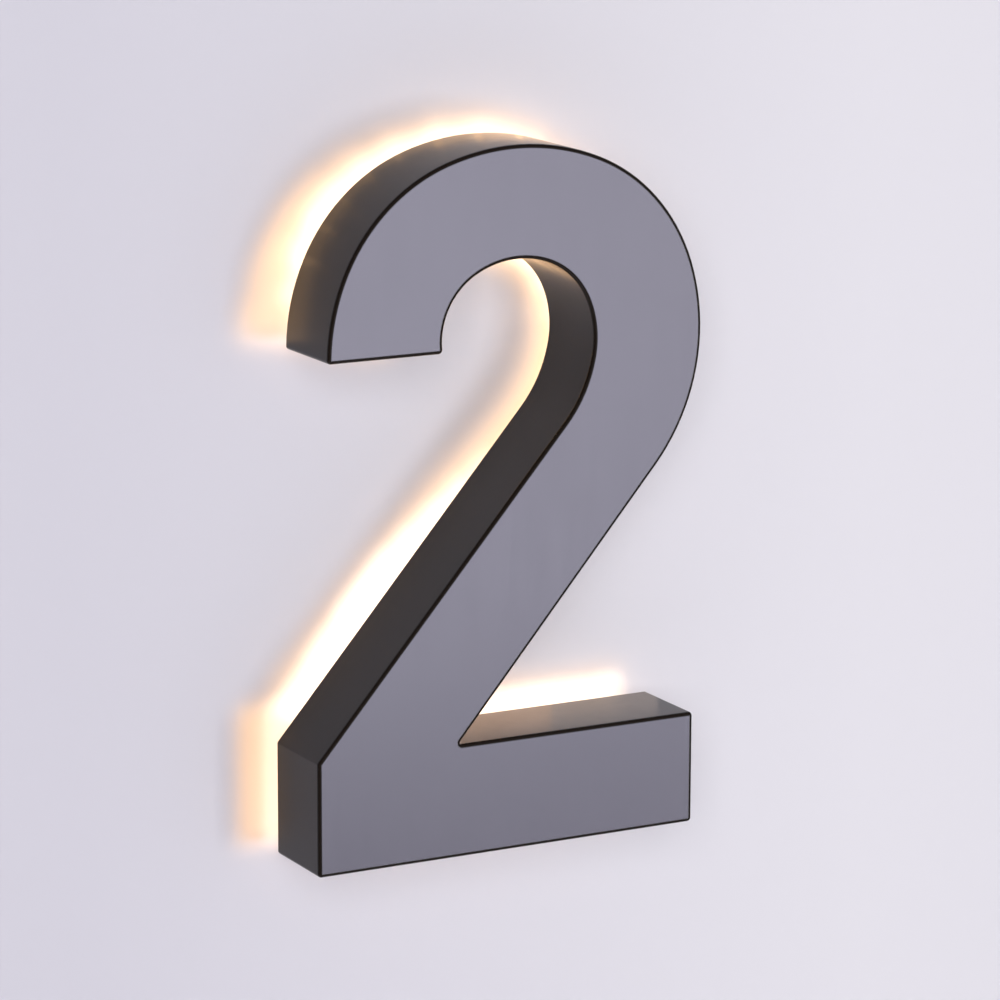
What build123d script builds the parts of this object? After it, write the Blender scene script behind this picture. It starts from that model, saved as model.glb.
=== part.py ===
from build123d import *
import os
from math import acos, asin, atan2, cos, degrees, radians, sin, tan

os.makedirs("parts", exist_ok=True)

# A halo-lit house number, the figure 2: a shallow metal can that stands off the wall before a lit opal panel.
#
# Millimetres and degrees. The figure is drawn in its own plane: u runs right from the foot's left edge, v
# runs up from the foot's underside. A depth is a distance from the wall, towards the viewer. The model's X is
# u, its Z is v, and its -Y is depth, with the origin on the wall at the middle of the four wall studs.

# ---------------------------------------------------------------- driving dimensions
# Contour of the figure, drawn for one height. A taller or lower number is the same drawing scaled.
number_height = 200.0
drawn_height = 200.0
figure_scale = number_height / drawn_height
foot_width = 119.5 * figure_scale
foot_height = 32.7 * figure_scale
notch_from_left = 43.7 * figure_scale
bowl_right = 120.7 * figure_scale
right_stroke = 34.6 * figure_scale
top_stroke = 31.7 * figure_scale
terminal_drop = 56.2 * figure_scale
outer_radii = [radius * figure_scale for radius in (59.0, 52.0, 68.5, 53.0, 58.5)]
outer_headings = [109.0, 158.0, 199.0, 245.0]
inner_radii = [radius * figure_scale for radius in (38.0, 27.5, 21.5, 27.0, 20.5)]
inner_headings = [80.0, 112.0, 161.0, 210.0]
corner_radius = 1.2
notch_radius = 0.5

# Shell
standoff = 12.0
return_depth = 26.0
return_wall = 1.0
lip_radius = 0.9
face_thickness = 2.0
tab_width = 8.0
tab_depth = 6.0
tab_shelf = 4.0
tab_metal = 1.0

# Panel and its fixings
panel_thickness = 5.0
panel_recess = 1.0
panel_clearance = 0.3
panel_corner_radius = 0.5
stud_spacing_x = 82.0 * figure_scale
terminal_stud_rise = 8.55 * figure_scale
stud_radius = 2.0
stud_tail = 1.5
stud_chamfer = 0.5
anchor_radius = 2.5
anchor_length = 25.0
anchor_point = 1.5
hole_clearance = 0.15
thread_clearance = 0.05
seal_thickness = 1.0
seal_radius = 5.0
spacer_radius = 4.5
washer_radius = 4.5
washer_thickness = 0.8
nut_across_flats = 7.0
nut_height = 3.2

# Lock screws, their weld nuts and the blocks that they bear on
lock_radius = 1.5
lock_length = 5.0
lock_sunk = 0.3
lock_socket = 1.5
lock_socket_depth = 1.6
lock_point = 0.4
lock_gap = 0.1
weld_nut_across_flats = 6.5
weld_nut_height = 2.5
block_width = 7.0
block_reach = 5.0
block_height = 8.0
block_screw_radius = 1.25
block_screw_head = 2.4
block_screw_length = 10.0
block_chamfer = 0.5
terminal_lock_offset = 10.2 * figure_scale

# Light modules
module_length = 18.0
module_width = 10.0
module_height = 5.0
module_wall = 1.2
module_corner_radius = 2.0
lens_radius = 2.9
lens_rise = 1.4
lens_flange = 0.6
lens_pitch = 8.0
diagonal_modules = 3
bowl_modules = 4
foot_modules = 2
below_stud_share = 0.45
stud_turn_clearance = 25.0
lens_opening = 2.2
board_thickness = 1.0
chip_size = 2.8
chip_height = 0.7
fit_gap = 0.1
tape_thickness = 0.8
tape_margin = 0.8

# Supply and wiring
block_pole_pitch = 5.0
block_body_length = 14.0
terminal_block_start = 5.0
block_body_width = 10.0
block_body_height = 8.0
block_entry_radius = 1.4
terminal_screw_radius = 1.5
terminal_screw_length = 4.0
wire_radius = 0.8
wire_gap = 0.6
wire_level = 2.6
wire_bow = 1.4
wire_lead = 3.0
stud_lead_share = 0.32
stub_share = 0.37
wire_in_block = 2.0
bend_share = 0.45
stud_bypass = 8.4
bypass_half = 4.0
foot_wire_past_stud = [(2.4, 11.2), (7.4, 2.4)]
grommet_from_left = 14.0 * figure_scale
grommet_from_below = 33.0 * figure_scale
grommet_bore = 2.8
grommet_groove = 5.0
grommet_flange = 7.0
grommet_lip = 1.5

# ---------------------------------------------------------------- derived places
rear = standoff
front = standoff + return_depth
face_back = front - face_thickness
panel_back = rear + panel_recess
panel_front = panel_back + panel_thickness
panel_inset = return_wall + panel_clearance
terminal_level = number_height - terminal_drop
lock_depth = panel_front + block_height / 2
washer_front = panel_front + washer_thickness
nut_front = washer_front + nut_height
tape_front = panel_front + tape_thickness
wire_depth = tape_front + wire_level
cut_margin = 20.0


def along(heading):
    """Unit vector along a heading, counted from the u direction."""
    return Vector(cos(radians(heading)), sin(radians(heading)))


def right_of(heading):
    """Unit vector to the right of a heading."""
    return Vector(sin(radians(heading)), -cos(radians(heading)))


def middle(one, other):
    """Point halfway between two."""
    return (one + other) * 0.5


class Side:
    """One side of the stroke: a straight diagonal that runs into a left-turning chain of tangent arcs.

    The chain has its rightmost point at right and its highest point at top. Growing it moves it to the right
    of travel.
    """

    def __init__(self, start, right, top, radii, headings):
        centres = [Vector(0, 0)]
        for heading, before, after in zip(headings, radii, radii[1:]):
            centres.append(centres[-1] + right_of(heading) * (before - after))
        at_right = sum(heading < 90 for heading in headings)
        at_top = sum(heading < 180 for heading in headings)
        shift_u = right - radii[at_right] - centres[at_right].X
        shift_v = top - radii[at_top] - centres[at_top].Y
        self.radii = radii
        self.centres = [centre + Vector(shift_u, shift_v) for centre in centres]
        to_centre = self.centres[0] - start
        turn = asin(radii[0] / to_centre.length)
        self.slope = degrees(atan2(to_centre.Y, to_centre.X) - turn)
        self.headings = [self.slope] + headings

    def point(self, heading, grow=0.0):
        """Point of the chain where it runs along a heading."""
        index = sum(start <= heading for start in self.headings) - 1
        index = max(index, 0)
        return self.centres[index] + right_of(heading) * (self.radii[index] + grow)

    def last_heading(self, level, grow):
        """Heading at which the chain comes down to a level."""
        rise = (self.centres[-1].Y - level) / (self.radii[-1] + grow)
        return 360 - degrees(acos(rise))

    def arcs(self, level, grow):
        """Arcs of the chain, from the diagonal down to a level."""
        edges = []
        stops = self.headings + [self.last_heading(level, grow)]
        for centre, radius, start, stop in zip(self.centres, self.radii, stops, stops[1:]):
            stations = (start, (start + stop) / 2, stop)
            points = [centre + right_of(heading) * (radius + grow) for heading in stations]
            edges.append(ThreePointArc(*points))
        return edges


outer_side = Side(
    Vector(notch_from_left, foot_height),
    bowl_right,
    number_height,
    outer_radii,
    outer_headings,
)
inner_side = Side(
    Vector(0, foot_height),
    bowl_right - right_stroke,
    number_height - top_stroke,
    inner_radii,
    inner_headings,
)
bowl_left = outer_side.centres[-1].X - outer_radii[-1]
stroke_left = inner_side.centres[-1].X - inner_radii[-1]


def corners(inset):
    """Sharp corners of the contour set in by inset: each one's point and its outward bisector's heading."""
    touch_outer = outer_side.point(outer_side.slope, -inset)
    touch_inner = inner_side.point(inner_side.slope, inset)
    up_outer = (foot_height - inset - touch_outer.Y) / sin(radians(outer_side.slope))
    up_inner = (inset - touch_inner.X) / cos(radians(inner_side.slope))
    level = terminal_level + inset
    outer_last = outer_side.last_heading(level, -inset)
    inner_last = inner_side.last_heading(level, inset)
    return {
        "foot_left": (Vector(inset, inset), 225.0),
        "foot_right": (Vector(foot_width - inset, inset), 315.0),
        "foot_top": (Vector(foot_width - inset, foot_height - inset), 45.0),
        "notch": (touch_outer + along(outer_side.slope) * up_outer, outer_side.slope / 2),
        "knee": (touch_inner + along(inner_side.slope) * up_inner, inner_side.slope / 2 + 135),
        "terminal_outer": (outer_side.point(outer_last, -inset), outer_last / 2 + 90),
        "terminal_inner": (inner_side.point(inner_last, inset), (inner_last + 360) / 2),
    }


def figure(inset=0.0):
    """Face of the figure, with its contour set in by inset and its corners rounded."""
    corner = {name: point for name, (point, _) in corners(inset).items()}
    level = terminal_level + inset
    edges = [
        Line(corner["foot_left"], corner["foot_right"]),
        Line(corner["foot_right"], corner["foot_top"]),
        Line(corner["foot_top"], corner["notch"]),
        Line(corner["notch"], outer_side.point(outer_side.slope, -inset)),
        *outer_side.arcs(level, -inset),
        Line(corner["terminal_outer"], corner["terminal_inner"]),
        *inner_side.arcs(level, inset),
        Line(inner_side.point(inner_side.slope, inset), corner["knee"]),
        Line(corner["knee"], corner["foot_left"]),
    ]
    face = Face(Wire([edge for line in edges for edge in line.edges()]))
    for name, point in corner.items():
        radius = notch_radius + inset if name == "notch" else corner_radius - inset
        if radius > 0:
            nearest = min(face.vertices(), key=lambda vertex: (Vector(vertex) - point).length)
            face = face.fillet_2d(radius, [nearest])
    return face


# ---------------------------------------------------------------- places in the model's frame
stud_low = foot_height / 2
stud_high = terminal_level + terminal_stud_rise
bowl_middle = (bowl_left + bowl_right) / 2
stud_spacing_z = stud_high - stud_low
origin_u = bowl_middle
origin_v = (stud_low + stud_high) / 2
stud_left = bowl_middle - stud_spacing_x / 2
stud_right = bowl_middle + stud_spacing_x / 2
stud_places = [(u, v) for v in (stud_low, stud_high) for u in (stud_left, stud_right)]
foot_free = stud_spacing_x - 2 * washer_radius - foot_modules * module_length
foot_gap = foot_free / (foot_modules + 1)


def frame_at(u, v, depth, heading=0.0):
    """Plane at a place of the figure, facing the viewer, with its x direction along a heading."""
    run = along(heading)
    return Plane(origin=(u - origin_u, -depth, v - origin_v), x_dir=(run.X, 0, run.Y), z_dir=(0, -1, 0))


def layer(face, back, ahead):
    """Solid that fills a face of the figure between two depths."""
    placed = frame_at(0, 0, back) * face
    return extrude(placed, amount=ahead - back, dir=(0, -1, 0))


def post(u, v, radius, back, ahead):
    """Round bar square to the wall, between two depths."""
    length = ahead - back
    return frame_at(u, v, back) * Cylinder(radius, length, align=(Align.CENTER, Align.CENTER, Align.MIN))


def hexagon(u, v, across_flats, back, ahead):
    """Hexagonal bar square to the wall, between two depths."""
    outline = RegularPolygon(across_flats / 2, 6, major_radius=False)
    return extrude(frame_at(u, v, back) * outline, amount=ahead - back, dir=(0, -1, 0))


def rising_from(u, v, depth):
    """Plane at a place of the figure that faces up along v."""
    return Plane(origin=(u - origin_u, -depth, v - origin_v), x_dir=(1, 0, 0), z_dir=(0, 0, 1))


def upright(u, v, depth, radius, length):
    """Round bar that rises along v from a place."""
    bar = Cylinder(radius, length, align=(Align.CENTER, Align.CENTER, Align.MIN))
    return rising_from(u, v, depth) * bar


def save(name, *pieces):
    """Write one sub-part, a single solid or a group of separate ones."""
    solids = [solid for piece in pieces for solid in piece.solids()]
    shape = solids[0] if len(solids) == 1 else Compound(children=solids)
    shape.label = name
    export_step(shape, f"parts/{name}.step")


# ---------------------------------------------------------------- shell: strips
def rounded_slab():
    """The figure's full block between rear edge and front, with the lip's round along its front edge."""
    block = layer(figure(), rear, front)
    front_face = block.faces().sort_by(Axis.Y)[0]
    return fillet(front_face.outer_wire().edges(), lip_radius)


def corner_point(name, reach):
    """Point that lies reach outside a corner of the contour, on its bisector."""
    point, heading = corners(0.0)[name]
    return point + along(heading) * reach


def lock_places():
    """Foot of each lock screw on the contour, as (u, v): two between stud and module, one in the free end."""
    from_stud = washer_radius + foot_gap / 2
    terminal = stud_left + terminal_lock_offset
    low = 0.0
    return [(stud_left + from_stud, low), (stud_right - from_stud, low), (terminal, terminal_level)]


def build_strips():
    """The four side strips: one ring with a rounded lip, parted along the bisectors of its sharp corners."""
    ring = rounded_slab() - layer(figure(return_wall), rear, front)
    for u, v in lock_places():
        ring -= upright(u, v - return_wall, lock_depth, lock_radius + hole_clearance, 3 * return_wall)
    reach = 3 * return_wall
    notch_out, notch_in = corner_point("notch", reach), corner_point("notch", -reach)
    knee_out, knee_in = corner_point("knee", reach), corner_point("knee", -reach)
    foot_outline = [
        (-cut_margin, -cut_margin),
        (foot_width + cut_margin, -cut_margin),
        (foot_width + cut_margin, notch_out.Y),
        notch_out,
        notch_in,
        knee_in,
        knee_out,
        (-cut_margin, knee_out.Y),
    ]
    terminal_outline = [
        corner_point("terminal_outer", -reach),
        corner_point("terminal_outer", reach),
        corner_point("terminal_inner", reach),
        corner_point("terminal_inner", -reach),
    ]
    foot_zone = layer(make_face(Polyline(*foot_outline, close=True)), rear, front)
    terminal_zone = layer(make_face(Polyline(*terminal_outline, close=True)), rear, front)
    sides = (ring - foot_zone - terminal_zone).solids().sort_by(SortBy.AREA)
    return {
        "return_base": ring & foot_zone,
        "return_terminal": ring & terminal_zone,
        "return_inner": sides[0],
        "return_outer": sides[1],
    }


# ---------------------------------------------------------------- shell: tabs, nuts, screws
def straight_runs():
    """The contour's straight runs as (start, end), with the metal on the left of travel."""
    corner = {name: point for name, (point, _) in corners(0.0).items()}
    return {
        "bottom": (corner["foot_left"], corner["foot_right"]),
        "end": (corner["foot_right"], corner["foot_top"]),
        "top": (corner["foot_top"], corner["notch"]),
        "lower_diagonal": (corner["notch"], outer_side.point(outer_side.slope)),
        "terminal": (corner["terminal_outer"], corner["terminal_inner"]),
        "upper_diagonal": (inner_side.point(inner_side.slope), corner["knee"]),
        "left": (corner["knee"], corner["foot_left"]),
    }


def tab_on(start, end, share):
    """Angle tab inside a strip, with its shelf against the back of the face plate."""
    run = end - start
    heading = degrees(atan2(run.Y, run.X))
    foot = start + run * share - right_of(heading) * return_wall
    plane = frame_at(foot.X, foot.Y, face_back - tab_depth, heading)
    from_rear = (Align.CENTER, Align.MIN, Align.MIN)
    flange = plane * Box(tab_width, tab_metal, tab_depth, align=from_rear)
    shelf_rise = tab_depth - tab_metal
    shelf = plane * Pos(0, 0, shelf_rise) * Box(tab_width, tab_shelf, tab_metal, align=from_rear)
    return flange + shelf


def build_tabs():
    """Tabs at even shares of each straight run."""
    shares = {
        "bottom": (0.12, 0.5, 0.88),
        "end": (0.5,),
        "top": (0.25, 0.75),
        "lower_diagonal": (0.2, 0.8),
        "terminal": (0.5,),
        "upper_diagonal": (0.2, 0.5, 0.8),
        "left": (0.5,),
    }
    runs = straight_runs()
    return [tab_on(*runs[name], share) for name, places in shares.items() for share in places]


def weld_nut(u, v):
    """Hexagonal nut on the inside of a strip, threaded for a lock screw."""
    outline = RegularPolygon(weld_nut_across_flats / 2, 6, major_radius=False, rotation=30)
    seat = rising_from(u, v + return_wall, lock_depth)
    body = extrude(seat * outline, amount=weld_nut_height, dir=(0, 0, 1))
    bore_length = 2 * (return_wall + weld_nut_height)
    return body - upright(u, v, lock_depth, lock_radius + thread_clearance, bore_length)


def lock_screw(u, v):
    """Grub screw: its socket faces out of the strip and its flat point faces the block."""
    foot = v + lock_sunk
    body = upright(u, foot, lock_depth, lock_radius, lock_length)
    ends = body.edges().filter_by(GeomType.CIRCLE).sort_by(Axis.Z)
    body = chamfer(ends[-1], lock_point)
    socket = rising_from(u, foot, lock_depth) * RegularPolygon(lock_socket / 2, 6, major_radius=False)
    return body - extrude(socket, amount=lock_socket_depth, dir=(0, 0, 1))


def clamp_block(u, v):
    """Block on the panel with a tapped hole from behind, whose side faces a lock screw's point."""
    near = v + lock_sunk + lock_length + lock_gap
    place = frame_at(u, near, panel_front)
    body = place * Box(block_width, block_reach, block_height, align=(Align.CENTER, Align.MIN, Align.MIN))
    body = chamfer(body.edges().filter_by(Axis.Y), block_chamfer)
    bore_radius = block_screw_radius + thread_clearance
    bore_end = panel_back + block_screw_length + fit_gap
    return body - post(*block_screw_place(u, v), bore_radius, panel_front, bore_end)


def block_screw_place(u, v):
    """Axis of a block's fixing screw, as (u, v)."""
    return u, v + lock_sunk + lock_length + lock_gap + block_reach / 2


def countersunk(u, v, grow=0.0):
    """Countersunk screw from the back of the panel, or with grow the hole that it needs."""
    head_height = block_screw_head - block_screw_radius
    cone = frame_at(u, v, panel_back) * Cone(
        block_screw_head + grow,
        block_screw_radius + grow,
        head_height,
        align=(Align.CENTER, Align.CENTER, Align.MIN),
    )
    return cone + post(u, v, block_screw_radius + grow, panel_back, panel_back + block_screw_length)


def block_screw(u, v):
    """A block's fixing screw, with a slot across its head."""
    slot_width, slot_depth = block_screw_radius / 2, block_screw_radius / 2
    slot = frame_at(u, v, panel_back) * Box(
        2 * block_screw_head, slot_width, slot_depth, align=(Align.CENTER, Align.CENTER, Align.MIN)
    )
    return countersunk(u, v) - slot


# ---------------------------------------------------------------- base: panel and wall fixings
def build_panel():
    """Opal sheet that fills the strips' rear opening, with its holes."""
    sheet = figure(panel_inset)
    square = [vertex for vertex in sheet.vertices() if is_square(vertex, sheet)]
    sheet = sheet.fillet_2d(panel_corner_radius, square) if square else sheet
    panel = layer(sheet, panel_back, panel_front)
    for u, v in stud_places:
        panel -= post(u, v, stud_radius + hole_clearance, panel_back, panel_front)
    for u, v in lock_places():
        panel -= countersunk(*block_screw_place(u, v), grow=hole_clearance)
    return panel - post(grommet_from_left, grommet_from_below, grommet_groove, panel_back, panel_front)


def is_square(vertex, sheet):
    """Whether a vertex of the sheet is one of the foot's square corners."""
    wanted = [corners(panel_inset)[name][0] for name in ("foot_left", "foot_right", "foot_top")]
    return any((Vector(vertex) - point).length < fit_gap for point in wanted)


def ring_post(u, v, outside, inside, back, ahead):
    """Round sleeve square to the wall, between two depths."""
    return post(u, v, outside, back, ahead) - post(u, v, inside, back, ahead)


def wall_stud(u, v):
    """Stud: a machine thread from the wall to just past its nut, and a thicker pointed anchor in the wall."""
    bar = post(u, v, stud_radius, 0, nut_front + stud_tail)
    bar = chamfer(bar.edges().filter_by(GeomType.CIRCLE).sort_by(Axis.Y)[0], stud_chamfer)
    anchor = post(u, v, anchor_radius, -anchor_length, 0)
    anchor = chamfer(anchor.edges().filter_by(GeomType.CIRCLE).sort_by(Axis.Y)[-1], anchor_point)
    return bar + anchor


def stud_nut(u, v):
    """Hexagonal nut with its corners turned down on the side that shows."""
    body = hexagon(u, v, nut_across_flats, washer_front, nut_front)
    turned = frame_at(u, v, washer_front) * Cone(
        nut_across_flats / 2 + nut_height,
        nut_across_flats / 2,
        nut_height,
        align=(Align.CENTER, Align.CENTER, Align.MIN),
    )
    return (body & turned) - post(u, v, stud_radius + thread_clearance, washer_front, nut_front)


def build_grommet():
    """Rubber ring that grips the panel between two flanges."""
    u, v = grommet_from_left, grommet_from_below
    back, ahead = panel_back - grommet_lip, panel_front + grommet_lip
    neck = post(u, v, grommet_groove, back, ahead)
    rear_lip = post(u, v, grommet_flange, back, panel_back)
    front_lip = post(u, v, grommet_flange, panel_front, ahead)
    rear_lip = fillet(rear_lip.edges().filter_by(GeomType.CIRCLE).sort_by(Axis.Y)[-1], grommet_lip / 2)
    front_lip = fillet(front_lip.edges().filter_by(GeomType.CIRCLE).sort_by(Axis.Y)[0], grommet_lip / 2)
    return neck + rear_lip + front_lip - post(u, v, grommet_bore, back, ahead)


# ---------------------------------------------------------------- base: light modules
def stroke_middle(heading):
    """Middle of the bowl's stroke where it runs along a heading."""
    return middle(outer_side.point(heading), inner_side.point(heading))


def diagonal_line():
    """Start, heading and length of the diagonal's middle line."""
    start = middle(Vector(0, foot_height), Vector(notch_from_left, foot_height))
    run = stroke_middle(min(outer_side.slope, inner_side.slope)) - start
    return start, degrees(atan2(run.Y, run.X)), run.length


def stud_headings():
    """Headings of the bowl's stroke at the right and at the left upper stud."""
    rise = stud_high - inner_side.centres[1].Y
    lean = degrees(atan2(rise, stud_spacing_x / 2))
    return 90 + lean, 270 - lean


def stroke_places():
    """Middle and heading of each light module on the stroke: up the diagonal, then round the bowl."""
    start, heading, length = diagonal_line()
    free = length - terminal_block_start - block_body_length - diagonal_modules * module_length
    step = module_length + free / diagonal_modules
    last = length - module_length / 2
    ahead = [last - step * index for index in reversed(range(diagonal_modules))]
    places = [(start + along(heading) * distance, heading) for distance in ahead]
    right_stud, left_stud = stud_headings()
    below_stud = heading + below_stud_share * (right_stud - heading)
    begin = right_stud + stud_turn_clearance
    bowl_step = (left_stud - stud_turn_clearance - begin) / (bowl_modules - 1)
    turns = [below_stud] + [begin + bowl_step * index for index in range(bowl_modules)]
    return places + [(stroke_middle(turned), turned) for turned in turns]


def foot_places():
    """Middle and heading of each light module in the foot."""
    first = stud_left + washer_radius + foot_gap + module_length / 2
    starts = [first + index * (module_length + foot_gap) for index in range(foot_modules)]
    return [(Vector(u, stud_low), 0.0) for u in starts]


def terminal_block_place():
    """Middle and heading of the terminal block, at the start of the diagonal."""
    start, heading, _ = diagonal_line()
    return start + along(heading) * (terminal_block_start + block_body_length / 2), heading


def housing(place, heading):
    """Moulded module body, hollow from behind, with a stepped opening under each lens."""
    plane = frame_at(place.X, place.Y, tape_front, heading)
    low = (Align.CENTER, Align.CENTER, Align.MIN)
    body = Box(module_length, module_width, module_height, align=low)
    body = fillet(body.edges().filter_by(Axis.Z), module_corner_radius)
    body = chamfer(body.faces().sort_by(Axis.Z)[-1].edges(), module_wall / 2)
    cavity = Box(
        module_length - 2 * module_wall,
        module_width - 2 * module_wall,
        module_height - module_wall,
        align=low,
    )
    body -= cavity
    for side in (-0.5, 0.5):
        body -= Pos(side * lens_pitch, 0, 0) * Cylinder(lens_opening, module_height, align=low)
    return plane * body


def lenses(place, heading):
    """Pair of lens caps on a module: a thin flange with a low dome."""
    plane = frame_at(place.X, place.Y, tape_front + module_height, heading)
    low = (Align.CENTER, Align.CENTER, Align.MIN)
    dome_radius = (lens_opening**2 + lens_rise**2) / (2 * lens_rise)
    ball = Pos(0, 0, lens_flange + lens_rise - dome_radius) * Sphere(dome_radius)
    dome = ball & (Pos(0, 0, lens_flange) * Cylinder(lens_radius, lens_rise, align=low))
    cap = Cylinder(lens_radius, lens_flange, align=low) + dome
    return [plane * Pos(side * lens_pitch, 0, 0) * cap for side in (-0.5, 0.5)]


def board(place, heading):
    """Circuit board under the lenses, with a light chip under each."""
    low = (Align.CENTER, Align.CENTER, Align.MIN)
    length = module_length - 2 * module_wall - 2 * fit_gap
    width = module_width - 2 * module_wall - 2 * fit_gap
    plane = frame_at(place.X, place.Y, tape_front, heading)
    body = Box(length, width, board_thickness, align=low)
    for side in (-0.5, 0.5):
        chip = Box(chip_size, chip_size, chip_height, align=low)
        body += Pos(side * lens_pitch, 0, board_thickness) * chip
    return plane * body


def tape(place, heading):
    """Foam tape between a module and the panel."""
    pad = Box(
        module_length - 2 * tape_margin,
        module_width - 2 * tape_margin,
        tape_thickness,
        align=(Align.CENTER, Align.CENTER, Align.MIN),
    )
    return frame_at(place.X, place.Y, panel_front, heading) * pad


# ---------------------------------------------------------------- base: terminal block and wires
def build_terminal_block(place, heading):
    """Two-pole block with a through hole and two screw wells for each pole."""
    low = (Align.CENTER, Align.CENTER, Align.MIN)
    body = Box(block_body_length, block_body_width, block_body_height, align=low)
    body = chamfer(body.faces().sort_by(Axis.Z)[-1].edges(), module_wall / 2)
    entry_level = wire_depth - panel_front
    for side in (-0.5, 0.5):
        across = side * block_pole_pitch
        body -= Pos(0, across, entry_level) * Rot(0, 90, 0) * Cylinder(block_entry_radius, block_body_length)
        for end in (-0.25, 0.25):
            well = Cylinder(terminal_screw_radius + fit_gap, block_body_height, align=low)
            body -= Pos(end * block_body_length, across, entry_level) * well
    return frame_at(place.X, place.Y, panel_front, heading) * body


def build_terminal_screws(place, heading):
    """Slotted screws in the block's wells, down on the wires."""
    low = (Align.CENTER, Align.CENTER, Align.MIN)
    seat = wire_depth - panel_front + wire_radius + fit_gap
    slot_depth, slot_width = terminal_screw_radius / 2, terminal_screw_radius / 3
    body = Cylinder(terminal_screw_radius, terminal_screw_length, align=low)
    slot = Box(3 * terminal_screw_radius, slot_width, slot_depth, align=low)
    body -= Pos(0, 0, terminal_screw_length - slot_depth) * slot
    block = frame_at(place.X, place.Y, panel_front, heading)
    return [
        block * Pos(end * block_body_length, side * block_pole_pitch, seat) * body
        for side in (-0.5, 0.5)
        for end in (-0.25, 0.25)
    ]


def beside(points, offsets):
    """A route moved to its left by an offset for each point, on its runs' mitres as seen from the front."""
    flat = [Vector(point.X, point.Y) for point in points]
    routed = []
    for index, point in enumerate(points):
        before = flat[index] - flat[max(index - 1, 0)]
        after = flat[min(index + 1, len(flat) - 1)] - flat[index]
        runs = [run.normalized() for run in (before, after) if run.length > 0]
        bisector = (runs[0] + runs[-1]).normalized()
        stretch = 1 / bisector.dot(runs[0])
        routed.append(point - Vector(bisector.Y, -bisector.X) * (offsets[index] * stretch))
    return routed


def wire(points):
    """Insulated wire along a route, each bend as wide as its two runs allow."""
    placed = [Vector(point.X - origin_u, -point.Z, point.Y - origin_v) for point in points]
    radii = []
    for before, point, after in zip(placed, placed[1:], placed[2:]):
        first, second = point - before, after - point
        shorter = min(first.length, second.length)
        radii.append(bend_share * shorter / tan(radians(first.get_angle(second)) / 2))
    path = FilletPolyline(*placed, radius=radii)
    section = Plane(origin=path @ 0, z_dir=path % 0) * Circle(wire_radius)
    body = sweep(section, path=path)
    share = body.volume / (path.length * section.area)
    print(f"wire of {path.length:.1f}, tightest bend {min(radii):.1f}, volume over its tube's {share:.4f}")
    return body


def at_wire_depth(place, rise=0.0):
    """Point of a route over a place of the figure."""
    return Vector(place.X, place.Y, wire_depth + rise)


def short_link(start, start_heading, end, end_heading):
    """Route between two facing module ends: square out, over a low bow, square in."""
    reach = (end - start).length / 2
    top = middle(start + along(start_heading) * reach, end - along(end_heading) * reach)
    stub = stub_share * reach
    out, into = start + along(start_heading) * stub, end - along(end_heading) * stub
    rises = ((start, 0.0), (out, 0.0), (top, wire_bow), (into, 0.0), (end, 0.0))
    return [at_wire_depth(place, rise) for place, rise in rises]


def long_link(start, start_heading, end, end_heading, via, lead):
    """Route between two ends by way of points on the panel, with a straight lead at each end."""
    out, into = start + along(start_heading) * lead, end - along(end_heading) * lead
    return [at_wire_depth(place) for place in (start, out, *via, into, end)]


def pair(points, starts_in_block=False):
    """The red and the black wire of a link. Those that start in the terminal block fan in from its poles."""
    close, apart = wire_radius + wire_gap / 2, block_pole_pitch / 2
    offsets = [close] * len(points)
    if starts_in_block:
        offsets[:2] = [apart, apart]
    red = wire(beside(points, offsets))
    black = wire(beside(points, [-offset for offset in offsets]))
    return red, black


def end_of(place, heading, way, length=module_length):
    """Middle of an end of a module or block: way is 1 at the end ahead and -1 at the end behind."""
    return place + along(heading) * (way * length / 2)


def stroke_pairs(places):
    """Wire pairs from the terminal block up the diagonal and round the bowl."""
    block, block_heading = terminal_block_place()
    first, first_heading = places[0]
    block_end = end_of(block, block_heading, 1, block_body_length - 2 * wire_in_block)
    from_block = short_link(block_end, block_heading, end_of(first, first_heading, -1), first_heading)
    pairs = [pair(from_block, starts_in_block=True)]
    stud = Vector(stud_right, stud_high)
    for (place, heading), (following, following_heading) in zip(places, places[1:]):
        start, end = end_of(place, heading, 1), end_of(following, following_heading, -1)
        if (middle(start, end) - stud).length < stud_bypass:
            across = (heading + following_heading) / 2
            beside_stud = stud + right_of(across) * stud_bypass
            via = [beside_stud + along(across) * shift for shift in (-bypass_half, bypass_half)]
            lead = stud_lead_share * (end - stud).length
            pairs.append(pair(long_link(start, heading, end, following_heading, via, lead)))
        else:
            pairs.append(pair(short_link(start, heading, end, following_heading)))
    return pairs


def foot_pairs(places):
    """Wire pairs from the terminal block's near end down past the lower left stud and along the foot."""
    block, block_heading = terminal_block_place()
    (first, first_heading), (second, second_heading) = places
    block_end = end_of(block, block_heading, -1, block_body_length - 2 * wire_in_block)
    stud = Vector(stud_left, stud_low)
    via = [stud + Vector(*place) for place in foot_wire_past_stud]
    near_end, far_end = end_of(first, first_heading, -1), end_of(first, first_heading, 1)
    down = long_link(block_end, block_heading + 180, near_end, first_heading, via, wire_lead)
    across = short_link(far_end, first_heading, end_of(second, second_heading, -1), second_heading)
    return [pair(down, starts_in_block=True), pair(across)]


# ---------------------------------------------------------------- build and write
strips = build_strips()
for name, piece in strips.items():
    save(name, piece)
save("face_plate", layer(figure(return_wall), face_back, front))
save("face_tabs", *build_tabs())
save("weld_nuts", *[weld_nut(u, v) for u, v in lock_places()])
for number, (u, v) in enumerate(lock_places(), start=1):
    save(f"lock_screw_{number}", lock_screw(u, v))
    save(f"clamp_block_{number}", clamp_block(u, v))
save("block_screws", *[block_screw(*block_screw_place(u, v)) for u, v in lock_places()])

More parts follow.
